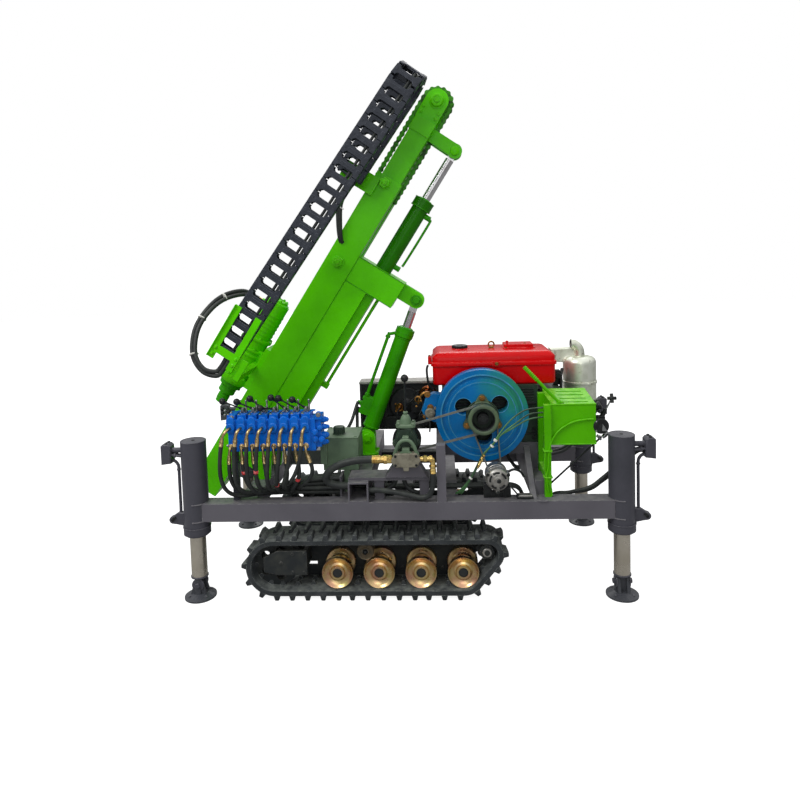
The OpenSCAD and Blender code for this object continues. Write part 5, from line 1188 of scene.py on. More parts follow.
def makeWheel(look):
    x, y, z = look["wheel"]

    def ringOn(profile, sides=160, at=(x, y, z)):  # profile of (radius, distance out from at), closed
        return turned(profile, sides, at, near, True)

    # machined step beside the groove, rounded rim edge and rims of the holes, in a lighter blue that is painted
    # highlight
    bright = [ringOn([(205, -2), (205, 1.2), (211, 1.2), (212, -2)]),
              ringOn([(170, -2), (170, 0.8), (174, 0.8), (174, -2)])]
    for k in range(3):
        a = np.radians(look["holeTurn"] + 120 * k)
        hole = (x + look["holeRing"] * np.cos(a), y, z + look["holeRing"] * np.sin(a))
        bright.append(ringOn([(42.6, -8), (42.6, 0), (43.6, 1), (46, 0.7), (46, -8)], 48, hole))
    addPiece("wheelSteps", join(*bright), highlightBlue, "flywheel", 34)
    dark = [ringOn([(162, -2), (162, 0.9), (169, 0.9), (169, -2)]),
            ringOn([(232.6, -4), (235.8, -8), (235.8, -64), (232.6, -68)], 96)]
    addPiece("wheelBand", join(*dark), flywheelBlue, "flywheel", 40)
    # drive pulley: plate as the hull of three discs, bronze bolts, turned lip and dark bore with its nut
    y0, y1 = look["pulley"]
    a, step = np.radians([90, 210, 330]), np.radians(np.linspace(-60, 60, 9))
    tips = np.column_stack([x + look["tipRing"] * np.cos(a), z + look["tipRing"] * np.sin(a)])
    hull = np.concatenate([tip + 20.5 * np.column_stack([np.cos(v + step), np.sin(v + step)])
                           for tip, v in zip(tips, a)])
    bolts = [moved(boltHead(11, 9), (px, y0, pz), near, 0.3 * i) for i, (px, pz) in enumerate(tips)]
    addPiece("pulleyBolts", join(*bolts), bronze, "flywheel", 34)
    plate = [across(slab(hull, 301, 314.6, 2)),
             ringOn([(58, -2), (58, 3), (64, 5.5), (72, 4.5), (76.5, 1), (76.5, -2)], 96, (x, y1, z)),
             ringOn([(60, -2), (60, 7), (70, 7), (76, 3), (76, -2)], 96, (x, y0, z))]
    addPiece("pulleyRims", join(*plate), olivePulley, "flywheel", 38)
    bore = [ringOn([(53, 330), (53, 388), (55.4, 390.6), (55.4, 330)], 96, (x, 0, z)),
            turned([(0, 0), (30, 0), (30, 14), (22, 22), (22, 34), (0, 34)], 40, (x, -330, z), near),
            moved(boltHead(20, 12), (x, -364, z), near)]
    addPiece("pulleyBore", join(*bore), oilyBlack, "flywheel", 36)


highlightBlue = makeFinish("paintedHighlightBlue", {  # lighter blue on the turned steps: painted highlight
    "colour": "#3a8fc0", "patch": "#2d7a86", "patchSize": 60, "roughness": (0.34, 0.5), "edge": "#7fb4d2",
    "edgeWidth": 1.2})
olivePulley = makeFinish("oliveSprayedIron", {  # blue casting under green overspray
    "colour": "#55684c", "patch": "#3f4a44", "patchSize": 60, "roughness": (0.3, 0.46), "edge": "#8fa07a",
    "edgeWidth": 1.0, "shine": 0.4, "grain": 3, "grainHeight": 0.2, "grainStrength": 0.3})
makeWheel(engine)

front = {"bolts": ((132, 894, 13, 10), (197, 826, 7, 6), (100, 846, 7, 6)), "boltY": -222.0, "fins": 8,
         "finZ": 880.0, "lug": [(85, 877), (109, 831), (160, 811), (206, 819), (206, 961), (150, 969), (111, 951)],
         "link": [(150, 884), (200, 868), (200, 882), (154, 900)], "recoil": (395.0, 865.0), "slots": 18,
         "pipes": ((6, 14, [(150, -196, 985), (128, -208, 1010), (120, -212, 1052), (118, -206, 1092),
                            (124, -196, 1112)]),
                   (5, 12, [(196, -214, 990), (260, -220, 1004), (340, -218, 996), (430, -214, 1004),
                            (520, -214, 994)]),
                   (6, 12, [(690, -150, 940), (706, -160, 950), (716, -150, 980), (712, -120, 1000)]))}


def makeEngineFront(look):
    # blue casing's boss and bolts, copper pipe bend and rings, then the finned block behind the wheel
    brass = [moved(boltHead(size, high), (x, look["boltY"], z), near) for x, z, size, high in look["bolts"]]
    brass += [moved(collar(16, 12), (118, -214, 962), near), moved(ball(6), (60, -212, 898)),
              moved(ball(6), (84, -212, 926)),
              turned([(12, 0), (18, 0), (18, 4), (12, 6)], 32, (68, -208, 936), near),
              cord([(70, -180, 905), (76, -186, 935), (96, -190, 962), (128, -190, 966)], 8, 14, 6)]
    blue = [across(slab(look["lug"], 168, 224, 4)), moved(collar(15, 20), (176, -214, 850), near)]
    iron = [turned([(0, 0), (28, 0), (28, 5), (23, 9), (0, 9)], 40, (130, -230, 866), near),
            moved(boltHead(11, 8), (136, -238, 864), near), across(slab(look["link"], 222, 234, 3))]
    # cooling fins round the cylinder behind the wheel, two ribs with bolts, and the far side's fins
    heights = [look["finZ"] + 14 * k for k in range(look["fins"])]
    fins = [boxShape((206, 668), (-212, -204), (z, z + 5), 1) for z in heights]
    fins += [boxShape((196, 694), (-214, -206), (z, z + 8), 1.5) for z in (740, 900)]
    fins += [moved(boltHead(9, 8), (x, -208, z), near) for x in (222, 668) for z in (722, 762)]
    fins += [boxShape((196, 206), (-190, 110), (712, 980), 2)]
    fins += [boxShape((206, 684), (130, 138), (z, z + 6), 1) for z in range(750, 970, 22)]
    black = [cord(path, radius, sides, 6) for radius, sides, path in look["pipes"]]
    # far side: recoil housing with slots, air filter drum and starter
    x, z = look["recoil"]
    black.append(turned([(0, 0), (96, 0), (96, 10), (86, 22), (60, 26), (0, 26)], 64, (x, 132, z), (0, 1, 0)))
    for a in np.arange(look["slots"]) * 2 * np.pi / look["slots"]:
        at = (x + 70 * np.cos(a), 153, z + 70 * np.sin(a))
        black.append(moved(boxShape((-3, 3), (-14, 14), (0, 3), 0.8), at, (0, 1, 0), -a))
    black += [rod((560, 180, 780), (680, 180, 780), 42, 40), rod((548, 180, 780), (560, 180, 780), 30, 32)]
    addPiece("engineBrass", join(*brass), bronze, "root", 34)
    addPiece("blueCasing", join(*blue), flywheelBlue, "root", 36)
    addPiece("casingBoss", join(*iron), pumpIron, "root", 36)
    addPiece("engineFins", join(*fins), oilyBlack, "root", 34)
    addPiece("engineHoses", join(*black), oilyBlack, "root", 40)


makeEngineFront(front)
tank = {"x": (148.0, 788.0), "y": (-190.0, 150.0), "z": (1001.0, 1107.0, 1121.0, 1172.0)}


def makeTank(look):
    (x0, x1), (y0, y1), (z0, z1, z2, z3) = look["x"], look["y"], look["z"]

    def shell(levels):  # rounded rectangle swelling and closing over a list of (height, growth, corner radius)
        return gridShape([np.column_stack([roundOutline((x0 - g, x1 + g), (y0 - g, y1 + g), r, 9), np.full(36, z)])
                          for z, g, r in levels], wrapColumns=True, capEnds=True)

    # lower half, upper half with a sloping shoulder, and the rolled seam with its lip turned down
    half = shell([(z0, -12, 20), (z0 + 2, -7, 22), (z0 + 7, -2, 25), (z0 + 14, 0, 26), (z1, 0, 26)])
    crown = [(z2, 0, 26), (z3 - 25, 0, 26), (z3 - 20, -2.5, 25), (z3 - 8, -16, 20), (z3 - 3, -23, 18),
             (z3, -33, 15)]
    red = [half, shell(crown), shell([(z1 - 5, 4, 29), (z1 - 4, 8, 32), (z1 + 9, 8.5, 32), (z2, 7, 31),
                                      (z2 + 1.5, 3, 28)])]
    # low box on top with a lip and a small knob, tab at the seam's left end
    red += [slab(roundOutline((537, 695), (-60, 60), 12), z3 - 1, z3 + 22, 3),
            slab(roundOutline((529, 703), (-66, 66), 12), z3 - 1, z3 + 5, 1.5)]
    red += [turned([(0, 0), (5, 0), (5, 8), (8, 10), (8, 15), (4, 17), (0, 17)], 24, (556, -20, z3 + 21))]
    red += [boxShape((462, 500), (-199, -190), (z1 - 10, z2 + 2), 2),
            across(slab([(124, 1108), (142, 1108), (142, 1146), (132, 1150), (124, 1146)], 92, 150, 2))]
    red.append(turned([(44, 0), (52, 0), (50, 4), (44, 5)], 48, (298, -20, z3 - 1)))
    addPiece("tankShell", join(*red), tankRed, "root", 42, ["fuel_tank"])
    # ribbed cap: r = 42 + 1.3 cos 24t, dished top with a vent button
    t = np.arange(192) * 2 * np.pi / 192
    wave = 1.3 * np.cos(24 * t)
    rows = [(40, 0, z3 - 2), (41.5, 1, z3 + 1), (42, 1, z3 + 15), (40.5, 0.6, z3 + 18.5), (34, 0, z3 + 19.5),
            (30, 0, z3 + 16.5), (12, 0, z3 + 16.5),
            (11, 0, z3 + 19), (0.5, 0, z3 + 19.5)]
    cap = gridShape([np.column_stack([298 + (r + s * wave) * np.cos(t), -20 + (r + s * wave) * np.sin(t),
                                      0 * t + z])
                     for r, s, z in rows], wrapColumns=True, capEnds=True)
    addPiece("tankCap", cap, knobBlack, "root", 30)
    # lifting eye: ring of radius 15, section 4.5, on a threaded shank; nuts and bolts round the seam
    b = np.arange(12) * np.pi / 6
    section = np.column_stack([15 + 4.5 * np.cos(b), 4.5 * np.sin(b)])
    metal = [turned(section, 40, (470, -20, 1192), near, True), moved(boltHead(12, 7), (470, -20, z3))]
    metal += [moved(boltHead(7, 6), (482, -199, z2 - 8), near), moved(boltHead(6, 5), (133, -120, 1150)),
              moved(boltHead(5, 4), (652, -20, z3 + 22)), moved(boltHead(5, 4), (545, -62, z3 + 5))]
    addPiece("tankMetal", join(*metal), bronze, "root", 40)


makeTank(tank)

alternator = {"x": 452.0, "z": 592.0, "boltRing": 57.0, "ribs": 24, "ribRing": 55.0, "ventRing": 38.0,
              "profile": [(0, 0), (44, 0), (53, 5), (55.5, 10), (56, 58), (53, 61), (53, 68), (56, 71), (56, 112),
                          (53, 124), (45, 132), (30, 136), (28, 139), (20, 140), (18, 143), (0, 143)],
              "vents": ((0.25, 1.1), (1.35, 2.2), (2.45, 3.3), (3.75, 4.5), (4.9, 5.7))}


def makeAlternator(look):
    # two ribbed cast halves with crescent vents, through bolts, black foot, arm and a small box on the deck
    x, z, black = look["x"], look["z"], []
    cast = [turned(look["profile"], 72, (x, -352, z), near)]

    def around(radius, y, t):
        return (x + radius * np.cos(t), y, z + radius * np.sin(t))

    for t in np.arange(3) * 2 * np.pi / 3 + 0.5:
        cast.append(moved(collar(9, 50), around(look["boltRing"], -434, t), near))
        black.append(moved(boltHead(6, 5), around(look["boltRing"], -484, t), near))
    for t in np.arange(look["ribs"]) * 2 * np.pi / look["ribs"]:
        cast.append(moved(boxShape((-1.5, 1.5), (-14, 14), (0, 3), 0.6), around(look["ribRing"], -448, t),
                          (np.cos(t), 0, np.sin(t)), np.pi / 2))
    for start, end in look["vents"]:
        t = np.linspace(start, end, 12)
        black.append(swept(np.column_stack([x + look["ventRing"] * np.cos(t), 0 * t - 486,
                                            z + look["ventRing"] * np.sin(t)]), 5.2, 12))
    black += [boxShape((x - 66, x - 30), (-438, -402), (490, 560), 4),
              boxShape((x + 30, x + 66), (-438, -402), (490, 540), 4),
              boxShape((x - 60, x + 60), (-436, -404), (490, 520), 3),
              moved(boltHead(8, 6), (x + 4, -494, z), near)]
    black.append(cord([(x + 46, -452, z + 30), (x + 80, -452, z + 44), (x + 112, -445, z + 30),
                       (x + 130, -436, z + 2)], 6, 12, 6))
    black += [boxShape((545, 624), (-462, -418), (490.5, 500), 2),
              cord([(x + 50, -470, z - 20), (x + 76, -476, z - 50),
                    (x + 96, -462, z - 78), (x + 104, -444, z - 86)], 4, 10, 6)]
    cast += [slab(roundOutline((549, 620), (-459, -421), 5), 500, 508, 2)]
    addPiece("alternatorBody", join(*cast), castAluminium, "root", 34, ["alternator"])
    addPiece("alternatorTrim", join(*black), oilyBlack, "root", 34)


makeAlternator(alternator)
print("engine group done")

# Control box dressing: welds, cable, switch disc, ribbed boot, cross knob, lever grip and its hoses
box = {"lean": 43.0, "grip": (760.0, -400.0, 952.0), "welds": 9, "weldFoot": 762.0, "weldGap": 21.0,
       "cable": [(922, -425, 870), (880, -428, 869), (820, -429, 857), (761, -429, 822), (727, -430, 780),
                 (709, -436, 738), (702, -440, 690), (700, -440, 640), (690, -440, 594), (698, -440, 520)],
       "wire": [(686, -440, 716), (683, -441, 650), (690, -441, 590), (712, -440, 540), (716, -440, 498)],
       "knob": (1026.0, -366.0, 958.0),
       "hoses": [[(716, -392, 924), (687, -394, 924), (605, -400, 916), (543, -405, 881), (494, -410, 833),
                  (452, -418, 777), (441, -420, 758)],
                 [(716, -392, 899), (687, -394, 899), (618, -400, 893), (549, -404, 849), (488, -410, 805),
                  (446, -420, 764), (432, -421, 748)],
                 [(716, -392, 877), (686, -394, 877), (611, -400, 866), (520, -406, 818), (470, -412, 790),
                  (438, -420, 752), (424, -421, 738)]]}


def makeBoxTrim(look):
    green, black, brass, thin = [], [], [], []
    # bent lever's ribbed grip: rings along its axis, which leans 43 degrees
    lean, foot = np.radians(look["lean"]), np.array(look["grip"])
    way = np.array((-np.sin(lean), 0, np.cos(lean)))
    green.append(swept(np.array([foot + way * s for s in np.linspace(150, 240, 46)]),
                       9.4 + 1.5 * np.sin(np.linspace(0, 9 * 2 * np.pi, 46)), 18))
    green += [moved(collar(14, 10), foot - way * 6, way), moved(boltHead(9, 8), foot + (14, -2, -4))]
    # stitch welds down the edge, flange strip, hem round the lid and slot lips
    for k in range(look["welds"]):
        z = look["weldFoot"] + look["weldGap"] * k
        green.append(swept(np.array([(719 + 0.5 * np.sin(2 * t), -421 - 0.8 * np.cos(3 * t), z + 2 * t)
                                     for t in range(7)]), 2.6, 10))
    green += [boxShape((716, 936), (-422, -417), (744, 750), 1.5),
              boxShape((715, 721), (-422, -178), (745, 960), 1.5),
              boxShape((931, 937), (-421, -179), (745, 760), 1.5),
              boxShape((717, 937), (-423, -416), (939, 947), 2)]
    # cable: over the face, down past the corner and along the post, tied by two bands
    green += [cord(look["cable"], 4.6), cord(look["wire"], 3.6, 12)]
    for z in (719, 588):
        green.append(slab(roundOutline((678, 722), (-446, -398), 8), z - 3, z + 3, 1.5))
    addPiece("boxTrim", join(*green), panelGreenPaintedShade, "root", 40)
    # switch disc on the end, two screws, ribbed motor body, boot, rod and cross knob
    black += [turned([(0, 0), (37, 0), (38, 3), (38, 10), (34, 14), (0, 14)], 56, (960, -411, 834), near),
              boxShape((936, 962), (-412, -300), (800, 868), 5)]
    body = turned([(0, 0), (28, 0), (28, 4), (24, 6), (24, 10), (28, 12), (28, 16), (24, 18), (24, 22), (28, 24),
                   (28, 28), (24, 30), (24, 34), (28, 36), (28, 44), (22, 52), (0, 52)], 48)
    black += [moved(body, (938, -310, 905), (0.9, -0.1, 0.35)),
              moved(body, (938, -368, 912), (0.85, -0.2, 0.45), 0, 0.72)]
    black += [moved(collar(12, 26), (980, -356, 866), (0.4, 0, 0.9)),
              moved(collar(9, 20), (989, -360, 886), (0.4, 0, 0.9)),
              boxShape((936, 992), (-372, -344), (850, 872), 4)]
    top = np.array(look["knob"])
    for k in range(2):  # cross knob: two rounded bars
        a = np.pi / 2 * k
        bar = np.array([np.cos(a), np.sin(a) * 0.4, np.sin(a)])
        black.append(rod(top - bar * 21, top + bar * 21, 8.5, 18))
    black.append(moved(ball(11), top))
    black.append(rod((975, -365, 766), (715, -365, 526), 4.6, 14))
    brass += [rod((986, -362, 880), top, 4.2, 14), moved(ball(5), (936, -423, 856)),
              moved(ball(5), (936, -423, 810)),
              across(slab([(962, 812), (990, 808), (966, 846)], 425.4, 427, 0.4))]
    brass += [moved(hexNut(11, 12), (966, -366, 758), (0.7, 0, 0.7)),
              moved(collar(8, 18), (952, -366, 772), (0.7, 0, -0.3)),
              moved(crimpSleeve(11, 40), (1008, -366, 790), (-0.7, 0, -0.66))]
    addPiece("boxControls", join(*black), oilyBlack, "root", 36, ["box_levers"])
    addPiece("boxControlMetal", join(*brass), brightZinc, "root", 36)
    # three thin hoses from the box past the ties by the alternator and down to the deck
    for k, path in enumerate(look["hoses"]):
        y = -421 - 4 * (k % 2)
        low = [path[-1], (400 - 6 * k, y, 712 - 4 * k), (364 - 4 * k, -423, 648), (328, y, 590),
               (290 + 6 * k, -416, 540),
               (256 + 12 * k, -408, 507), (250 + 12 * k, -400, 500)]
        thin += [cord(path, 3.8, 12), cord(low, 4.2, 12)]
    ties = [moved(collar(9.5, 12), (452, -418, 776), (-0.5, 0, -0.86)),
            moved(collar(10, 9), (434, -420, 747), (-0.6, 0, -0.8)),
            moved(collar(10, 8), (326, -422, 588), (-0.6, 0, -0.8))]
    ties += [moved(collar(5, 6), (717, -392, z), (-1, 0, 0)) for z in (924, 899, 877)]
    fits = [moved(crimpSleeve(8, 34), (384 - 10 * k, -423 - 4 * k, 690 - 22 * k), (-0.47, 0, -0.88))
            for k in range(2)]
    fits += [moved(hexNut(10, 9), (389 - 10 * k, -423 - 4 * k, 698 - 22 * k), (-0.47, 0, -0.88)) for k in range(2)]
    addPiece("thinHoses", join(*thin), sprayedHose, "root", 60)
    addPiece("thinHoseTies", join(*ties), tieWhite, "root", 50)
    addPiece("thinHoseFittings", join(*fits), fittingBrass, "root", 36)


sprayedHose = makeFinish("greenDustedHose", {  # black hose under green overspray
    "colour": "#4d7d4a", "patch": "#2f3f33", "patchSize": 160, "roughness": (0.34, 0.5), "dustAndLitTop": "#9cc49a",
    "dustAndLitTopShare": 0.4})
makeBoxTrim(box)

silencer = {"axis": (963.0, 60.0), "band": 963.0, "boltRing": 93.0, "boltAt": (-1.2, 1.9),
            "profile": [(0, 800), (68, 800), (80, 806), (88, 818), (90, 830), (90, 955), (94, 957), (94.5, 963),
                        (94, 969), (90, 971), (90, 1070), (88, 1082), (82, 1093), (72, 1101), (58, 1105),
                        (0, 1106)],
            "neck": [(2, 0, 1100), (2, 0, 1122), (-2, 0, 1142), (-14, 0, 1160), (-32, 0, 1172), (-46, 0, 1174)]}


def makeSilencer(look):
    # domed canister with a bright clamp band, swan-neck outlet, sheet duct to the engine and its bracket
    x, y = look["axis"]
    shell = [turned(look["profile"], 96, (x, y, 0))]
    neck = smoothPath(look["neck"], 8) + (x, y, 0)
    shell += [swept(neck, np.linspace(27, 25, len(neck)), 36),
              turned([(24, 0), (29, 1), (29, 5), (24, 6)], 36, (x + 2, y, 1101)),
              turned([(20, 0), (26, 0), (26.5, 3), (20, 3)], 36, (x - 44, y, 1174), (-0.98, 0, 0.05))]
    shell.append(across(slab([(806, 1146), (958, 1146), (958, 1112), (880, 1070), (836, 1072), (806, 1098)], -143,
                             -67, 4)))
    shell += [boxShape((832, 902), (28, 92), (862, 920), 4), boxShape((868, 876), (26, 94), (856, 924), 1.5)]
    shell += [moved(boltHead(8, 7),
                    (x + look["boltRing"] * np.cos(t), y + look["boltRing"] * np.sin(t), look["band"]),
                    (np.cos(t), np.sin(t), 0)) for t in look["boltAt"]]
    addPiece("silencerShell", join(*shell), silverPaint, "root", 40, ["air_cleaner"])
    dark = [turned([(15, 0), (22, 0), (22, 2), (15, 2)], 32, (x - 47, y, 1174), (-1, 0, 0)),
            boxShape((806, 846), (-20, 20), (960, 1040), 5), moved(collar(16, 20), (828, -20, 1014), near),
            cord([(860, 20, 1040), (845, -20, 1010), (842, -40, 960), (835, -60, 900)], 9, 16)]
    addPiece("silencerDark", join(*dark), oilyBlack, "root", 40)


makeSilencer(silencer)
print("control box and silencer done")

# Undercarriage: moulded track loops with staggered cleats, dished rollers, hubs and cover bolts
track = {"wheels": ((394.0, 228.0, 68.0), (276.0, 130.0, 95.0), (-655.0, 165.0, 130.0)), "y": (315.0, 495.0),
         "pitch": 75.0, "belt": (-17.0, 13.0), "lug": 35.0, "rollers": (-345.0, 207.0, 4, 130.0),
         "carrier": (-204.0, 235.0)}


def loopPoints(look, count):
    # the band round three circles: for each direction d the point c + r d of the circle that reaches furthest
    a = np.linspace(0, 2 * np.pi, 1441)[:-1]
    d = np.column_stack([np.cos(a), np.sin(a)])
    wheels = np.array(look["wheels"])
    best = np.argmax(d @ wheels[:, :2].T + wheels[:, 2], axis=1)
    line = wheels[best, :2] + wheels[best, 2:] * d
    line = np.concatenate([line, line[:1]])
    s = np.concatenate([[0], np.cumsum(np.linalg.norm(np.diff(line, axis=0), axis=1))])
    at = np.arange(count) * s[-1] / count
    p = np.column_stack([np.interp(at, s, line[:, 0]), np.interp(at, s, line[:, 1])])
    way = np.roll(p, -1, 0) - np.roll(p, 1, 0)
    way /= np.linalg.norm(way, axis=1, keepdims=True)
    return p, way, np.column_stack([way[:, 1], -way[:, 0]]), s[-1]


def makeTrack(look, s, name, node):
    inner, outer = look["belt"]
    y0, y1 = (s * v for v in look["y"])
    p, way, out, length = loopPoints(look, 288)
    sign = np.sign(((p - p.mean(0)) * out).sum())
    out = out * sign
    y = np.array([y0, y0 + s * 4, y0 + s * 30, y0 + s * 34, y1 - s * 34, y1 - s * 30, y1 - s * 4, y1, y1,
                  y1 - s * 5, y0 + s * 5, y0])
    h = np.array([inner + 4, inner, inner, inner - 3, inner - 3, inner, inner, inner + 4, outer - 5, outer, outer,
                  outer - 5])
    flat = p[:, None] + out[:, None] * h[None, :, None]
    rings = np.stack([flat[..., 0], np.broadcast_to(y, flat.shape[:2]), flat[..., 1]], -1)
    parts = [gridShape(rings, wrapRows=True, wrapColumns=True)]
    count = int(round(length / look["pitch"]))
    for k in range(count):
        for half, ends in ((0.0, (y1, y1 - s * 26, y1 - s * 96)), (0.5, (y0, y0 + s * 26, y0 + s * 96))):
            i = int(round((k + half) * len(p) / count)) % len(p)
            base, t, n = p[i], way[i], out[i]
            # cleat: a tall pad at the belt's edge that drops to a thin bar towards the middle
            rows = []
            for y, foot, tip, top in ((ends[0], 15, 8, look["lug"] - 5),
                                      (ends[0] - np.sign(ends[0] - ends[1]) * 3, 17, 10, look["lug"]),
                                      (ends[1], 17, 9, look["lug"]), (ends[2], 11, 5, look["lug"] - 4)):
                q = [base + t * a + n * b for a, b in ((-foot, outer - 4), (foot, outer - 4),
                                                       (foot * 0.86, outer + 3), (tip, top - 2),
                                                       (tip * 0.7, top), (-tip * 0.7, top), (-tip, top - 2),
                                                       (-foot * 0.86, outer + 3))]
                rows.append(np.array([(u[0], y, u[1]) for u in q]))
            parts.append(gridShape(np.array(rows), wrapColumns=True, capEnds=True))
        i = int(round((k + 0.25) * len(p) / count)) % len(p)
        base, t, n, mid = p[i], way[i], out[i], (y0 + y1) / 2
        for side in (-1, 1):  # guide horns inside the belt
            foot, tip = (base + n * (inner + 1)), (base + n * (inner - 20))
            rows = [[(foot[0] + t[0] * a, mid + side * 30 + b, foot[1] + t[1] * a)
                     for a, b in ((-16, -9), (16, -9), (16, 9), (-16, 9))],
                    [(tip[0] + t[0] * a, mid + side * 26 + b, tip[1] + t[1] * a)
                     for a, b in ((-7, -5), (7, -5), (7, 5), (-7, 5))]]
            parts.append(gridShape(np.array(rows), wrapColumns=True, capEnds=True))
    addPiece(name, join(*parts), trackRubber, "root", 40, [node])


def makeRollers(look):
    x0, gap, count, z = look["rollers"]
    # roller: flanges, drum and a dished outer face with its boss ring, (radius, |y|)
    dish = [(24, 466), (24, 475), (33, 475.5), (35, 472), (37, 462), (46, 457), (60, 461), (69, 468), (73, 474),
            (76, 475.5), (78, 472), (78, 452), (74, 448), (56, 445), (50, 440), (50, 370), (56, 365), (74, 362),
            (78, 358), (78, 338), (76, 335), (30, 335), (24, 340)]
    small = [(15, 462), (15, 466), (20, 466), (22, 462), (38, 462), (41, 465), (42, 462), (42, 348), (40, 345),
             (15, 345)]
    gold, ends, dirty, rings = [], [], [], []
    for s in (-1, 1):
        for k in range(count):
            x = x0 + gap * k
            gold.append(turned([(r, -s * h) for r, h in dish], 72, (x, 0, z), near, True))
            ends.append(turned([(0, 0), (23.5, 0), (23.5, 8), (21, 10), (0, 10)], 40, (x, s * 462, z), (0, s, 0)))
        x, zc = look["carrier"]
        dirty.append(turned([(r, -s * h) for r, h in small], 72, (x, 0, zc), near, True))
        rings.append(turned([(7, 0), (15, 0), (15, 5), (13, 7), (7, 7)], 40, (x, s * 464, zc), (0, s, 0)))
        ends.append(moved(collar(8, 4), (x, s * 464, zc), (0, s, 0)))
        x, zc = look["wheels"][0][:2]
        rings.append(turned([(14, 0), (23, 0), (23, 5), (20, 8), (14, 8)], 40, (x, s * 466, zc), (0, s, 0)))
        ends += [moved(collar(13, 5), (x, s * 466, zc), (0, s, 0)),
                 turned([(24, 0), (38, 0), (36, 8), (28, 12), (24, 12)], 48, (x, s * 454, zc), (0, s, 0))]
        ends += [moved(boltHead(5, 4), (x + 31 * np.cos(a), s * 462, zc + 31 * np.sin(a)), (0, s, 0))
                 for a in np.arange(6) * np.pi / 3]
        # idler cover: rolled edge, adjuster nut in the slot, bolts; skirt plate behind the rollers
        cover = [(-711, 140), (-640, 124), (-494, 124), (-494, 246), (-640, 246), (-711, 212)]
        ends.append(across(slab(cover, *sorted((-s * 476.5, -s * 479)), 1)))
        ends += [moved(boltHead(7, 6), (a, s * 478, b), (0, s, 0))
                 for a, b in ((-508, 232), (-508, 138), (-566, 232), (-566, 138), (-624, 185))]
        ends += [rod((-702, s * 468, 175), (-640, s * 468, 175), 7, 16),
                 moved(hexNut(12, 12), (-676, s * 468, 175), (1, 0, 0))]
        skirt = [(-560, 47), (322, 47), (340, 106), (-560, 106)]
        ends.append(across(slab(skirt, *sorted((-s * 318, -s * 331)), 2)))
        ends += [moved(boltHead(8, 7), (x0 + gap * (k + 0.5), s * 332, 88), (0, s, 0)) for k in range(count)]
    addPiece("rollerFaces", join(*gold), zincYellow, "root", 30, ["track_rollers"])
    addPiece("carrierRollers", join(*dirty), dirtyZinc, "root", 30)
    addPiece("hubRings", join(*rings), castAluminium, "root", 34)
    addPiece("trackFrameTrim", join(*ends), chassisBlack, "root", 34)


dirtyZinc = makeFinish("dustyBrownZinc", {  # worn passivation under dried mud
    "colour": "#5a4f3d", "patch": "#3c3a33", "patchSize": 22, "metallic": 0.4, "roughness": (0.4, 0.6),
    "edge": "#8d8468", "edgeWidth": 1.2})
makeTrack(track, -1, "trackBandNear", "track_near")
makeTrack(track, 1, "trackBandFar", "track_far")
makeRollers(track)
print("undercarriage done")

# Jacks: rolled top with its plug, lock valve with pipes and link, wiper ring, foot bolts; weld beads on the deck
jack = {"x": 1050.0, "y": 441.0, "tube": 62.0, "top": 800.0, "bottom": 330.0,
        "rearHose": [(-300, 300, 508, -24, 0), (-60, 306, 503, -24, 0), (300, 306, 503, -24, 0),
                     (540, 300, 500, -24, 0),
                     (596, 302, 446, -24, 0), (632, 304, 403, -24, 0), (704, 310, 402, -22, 0),
                     (752, 320, 448, -20, 8),
                     (823, 330, 474, -16, -6), (921, 338, 502, -12, -14), (982, 346, 550, -8, -16),
                     (1040, 356, 606, -4, -18),
                     (1100, 374, 672, 0, -14), (1136, 412, 712, -2, -6), (1160, 418, 716, 14, 0)]}


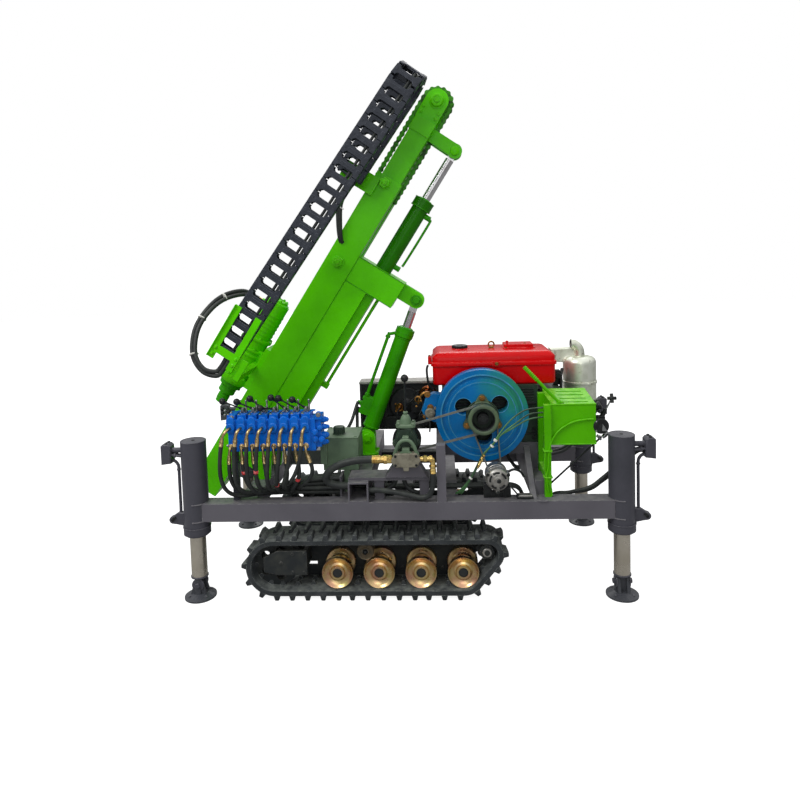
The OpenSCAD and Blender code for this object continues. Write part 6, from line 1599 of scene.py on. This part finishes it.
def makeJacks(look):
    grey, dark, beads = [], [], []
    for sx in (-1, 1):
        for sy in (-1, 1):
            x, y, r = sx * look["x"], sy * look["y"], look["tube"]

            def at(out, side, z):
                return (x + sx * out, y + side, z)

            grey += [turned([(r - 5, 0), (r + 0.6, 0), (r + 0.6, 3), (r - 2, 5), (r - 5, 5)], 72,
                            (x, y, look["top"] - 4)),
                     turned([(r - 2, 0), (r + 6, 0), (r + 6, 4), (r - 2, 4)], 72, (x, y, 364)),
                     turned([(39.6, 0), (56, 0), (56, 6), (50, 10), (39.6, 10)], 56, (x, y, look["bottom"] - 8))]
            dark.append(moved(collar(8, 2.5), (x, y, look["top"])))
            # valve block with its rounded cap, two short pipes, bent pipe down to the link
            block = [(x + sx * out, z) for out, z in ((107, 690), (156, 684), (156, 778), (146, 787), (118, 787),
                                                      (107, 776))]
            grey.append(moved(across(slab(block, -30, 30, 5)), (0, y, 0)))
            grey.append(rod(at(r - 3, 0, 752), at(109, 0, 752), 13, 28))
            grey += [rod(at(r - 3, k, 724), at(109, k, 731), 6, 16) for k in (-14, 10)]
            grey += [moved(hexNut(11, 10), at(90, k, 728), (1, 0, 0)) for k in (-14, 10)]
            pipe = [at(out, 0, z) for out, z in ((110, 700), (96, 696), (84, 682), (79, 660), (79, 560), (79, 470),
                                                 (80, 418))]
            grey += [cord(pipe, 7.5, 18), moved(hexNut(12, 12), at(79, 0, 430)),
                     moved(collar(10, 8), at(79, 0, 650))]
            # link: two cheeks with a rounded end and a pin
            t = np.linspace(-np.pi / 2, np.pi / 2, 13)
            link = np.array([(r - 4, 368), (r + 34, 376), *zip(118 + 19 * np.cos(t), 398 + 19 * np.sin(t)),
                             (r + 40, 428), (r + 28, 436), (r - 4, 436)]) * (sx, 1) + (x, 0)
            grey.append(moved(across(slab(link, -15, 15, 3)), (0, y, 0)))
            dark += [moved(collar(8, 34), at(118, 17, 398), near),
                     moved(boltHead(9, 8, False), at(r + 46, -16, 410), near)]
            dark += [moved(boltHead(7, 6), at(131, k * 18, 787)) for k in (-1, 1)]
            # weld beads where the deck beams meet the tube
            a = np.linspace(0.0, np.pi, 40)
            for z in (401, 489):
                ring = np.column_stack([x - sx * (r + 0.5) * np.sin(a), y - (r + 0.5) * np.cos(a), np.full(40, z)])
                beads.append(swept(ring, 3.4 + 0.7 * np.sin(np.arange(40) * 2.1), 8))
    addPiece("jackTrim", join(*grey), jackGrey, "root", 38, ["lock_valves"])
    addPiece("jackPlugs", join(*dark), oilyBlack, "root", 36)
    for body, sx, sy in (("jack_fn", -1, -1), ("jack_ff", -1, 1), ("jack_rn", 1, -1), ("jack_rf", 1, 1)):
        x, y = sx * look["x"], sy * look["y"]
        foot = [turned([(39.2, 0), (43, 2), (43, 8), (39.2, 10)], 56, (x, y, 103))]
        turn = np.pi / 2 if sx > 0 else 0.0
        for k in (-1, 1):
            pin = np.array((-np.sin(turn), np.cos(turn), 0)) * k
            foot += [moved(collar(31, 6, 40), (x, y, 72) + pin * 28.5, pin),
                     moved(boltHead(14, 12), (x, y, 72) + pin * 34.5, pin)]
        foot += [moved(boltHead(6, 5), (x + 58 * np.cos(v), y + 58 * np.sin(v), 17))
                 for v in np.arange(4) * np.pi / 2 + 0.8]
        addPiece("footTrim" + body[-2:].upper(), join(*foot), jackGrey, body, 36)
    # deck: beads at the cross beams, bead rings on the bed, hoses to the rear valves
    for x in (-845, -755, -330, -240, -60, 30, 170, 260):
        for s in (-1, 1):
            line = np.column_stack([np.full(24, x), np.full(24, s * 395.5), np.linspace(402, 488, 24)])
            beads.append(swept(line, 3.0 + 0.8 * np.sin(np.arange(24) * 2.3), 8))
    for x, y, z in ((180, -464, 491), (626, -440, 491), (700, -420, 491), (667, -486, 491), (667, 486, 491)):
        t = np.linspace(0, 2 * np.pi, 30)
        ring = np.column_stack([x + 24 * np.cos(t), y + 6 * np.sin(t), np.full(30, z)])
        beads.append(swept(ring, 3.0 + 0.7 * np.sin(np.arange(30) * 2.1), 8))
    addPiece("weldBeads", join(*beads), frameGrey, "root", 60)
    hoses = []
    for s in (-1, 1):
        for k in range(2):
            # each point is (x, y, z) of the first hose and how far the second lies from it in y and z
            run = [(x, s * (y + dy * k), z + dz * k) for x, y, z, dy, dz in look["rearHose"]]
            hoses.append(cord(run, 9.5, 16))
    addPiece("rearHoses", join(*hoses), hoseRubber, "root", 60)


makeJacks(jack)
print("jacks and deck done")
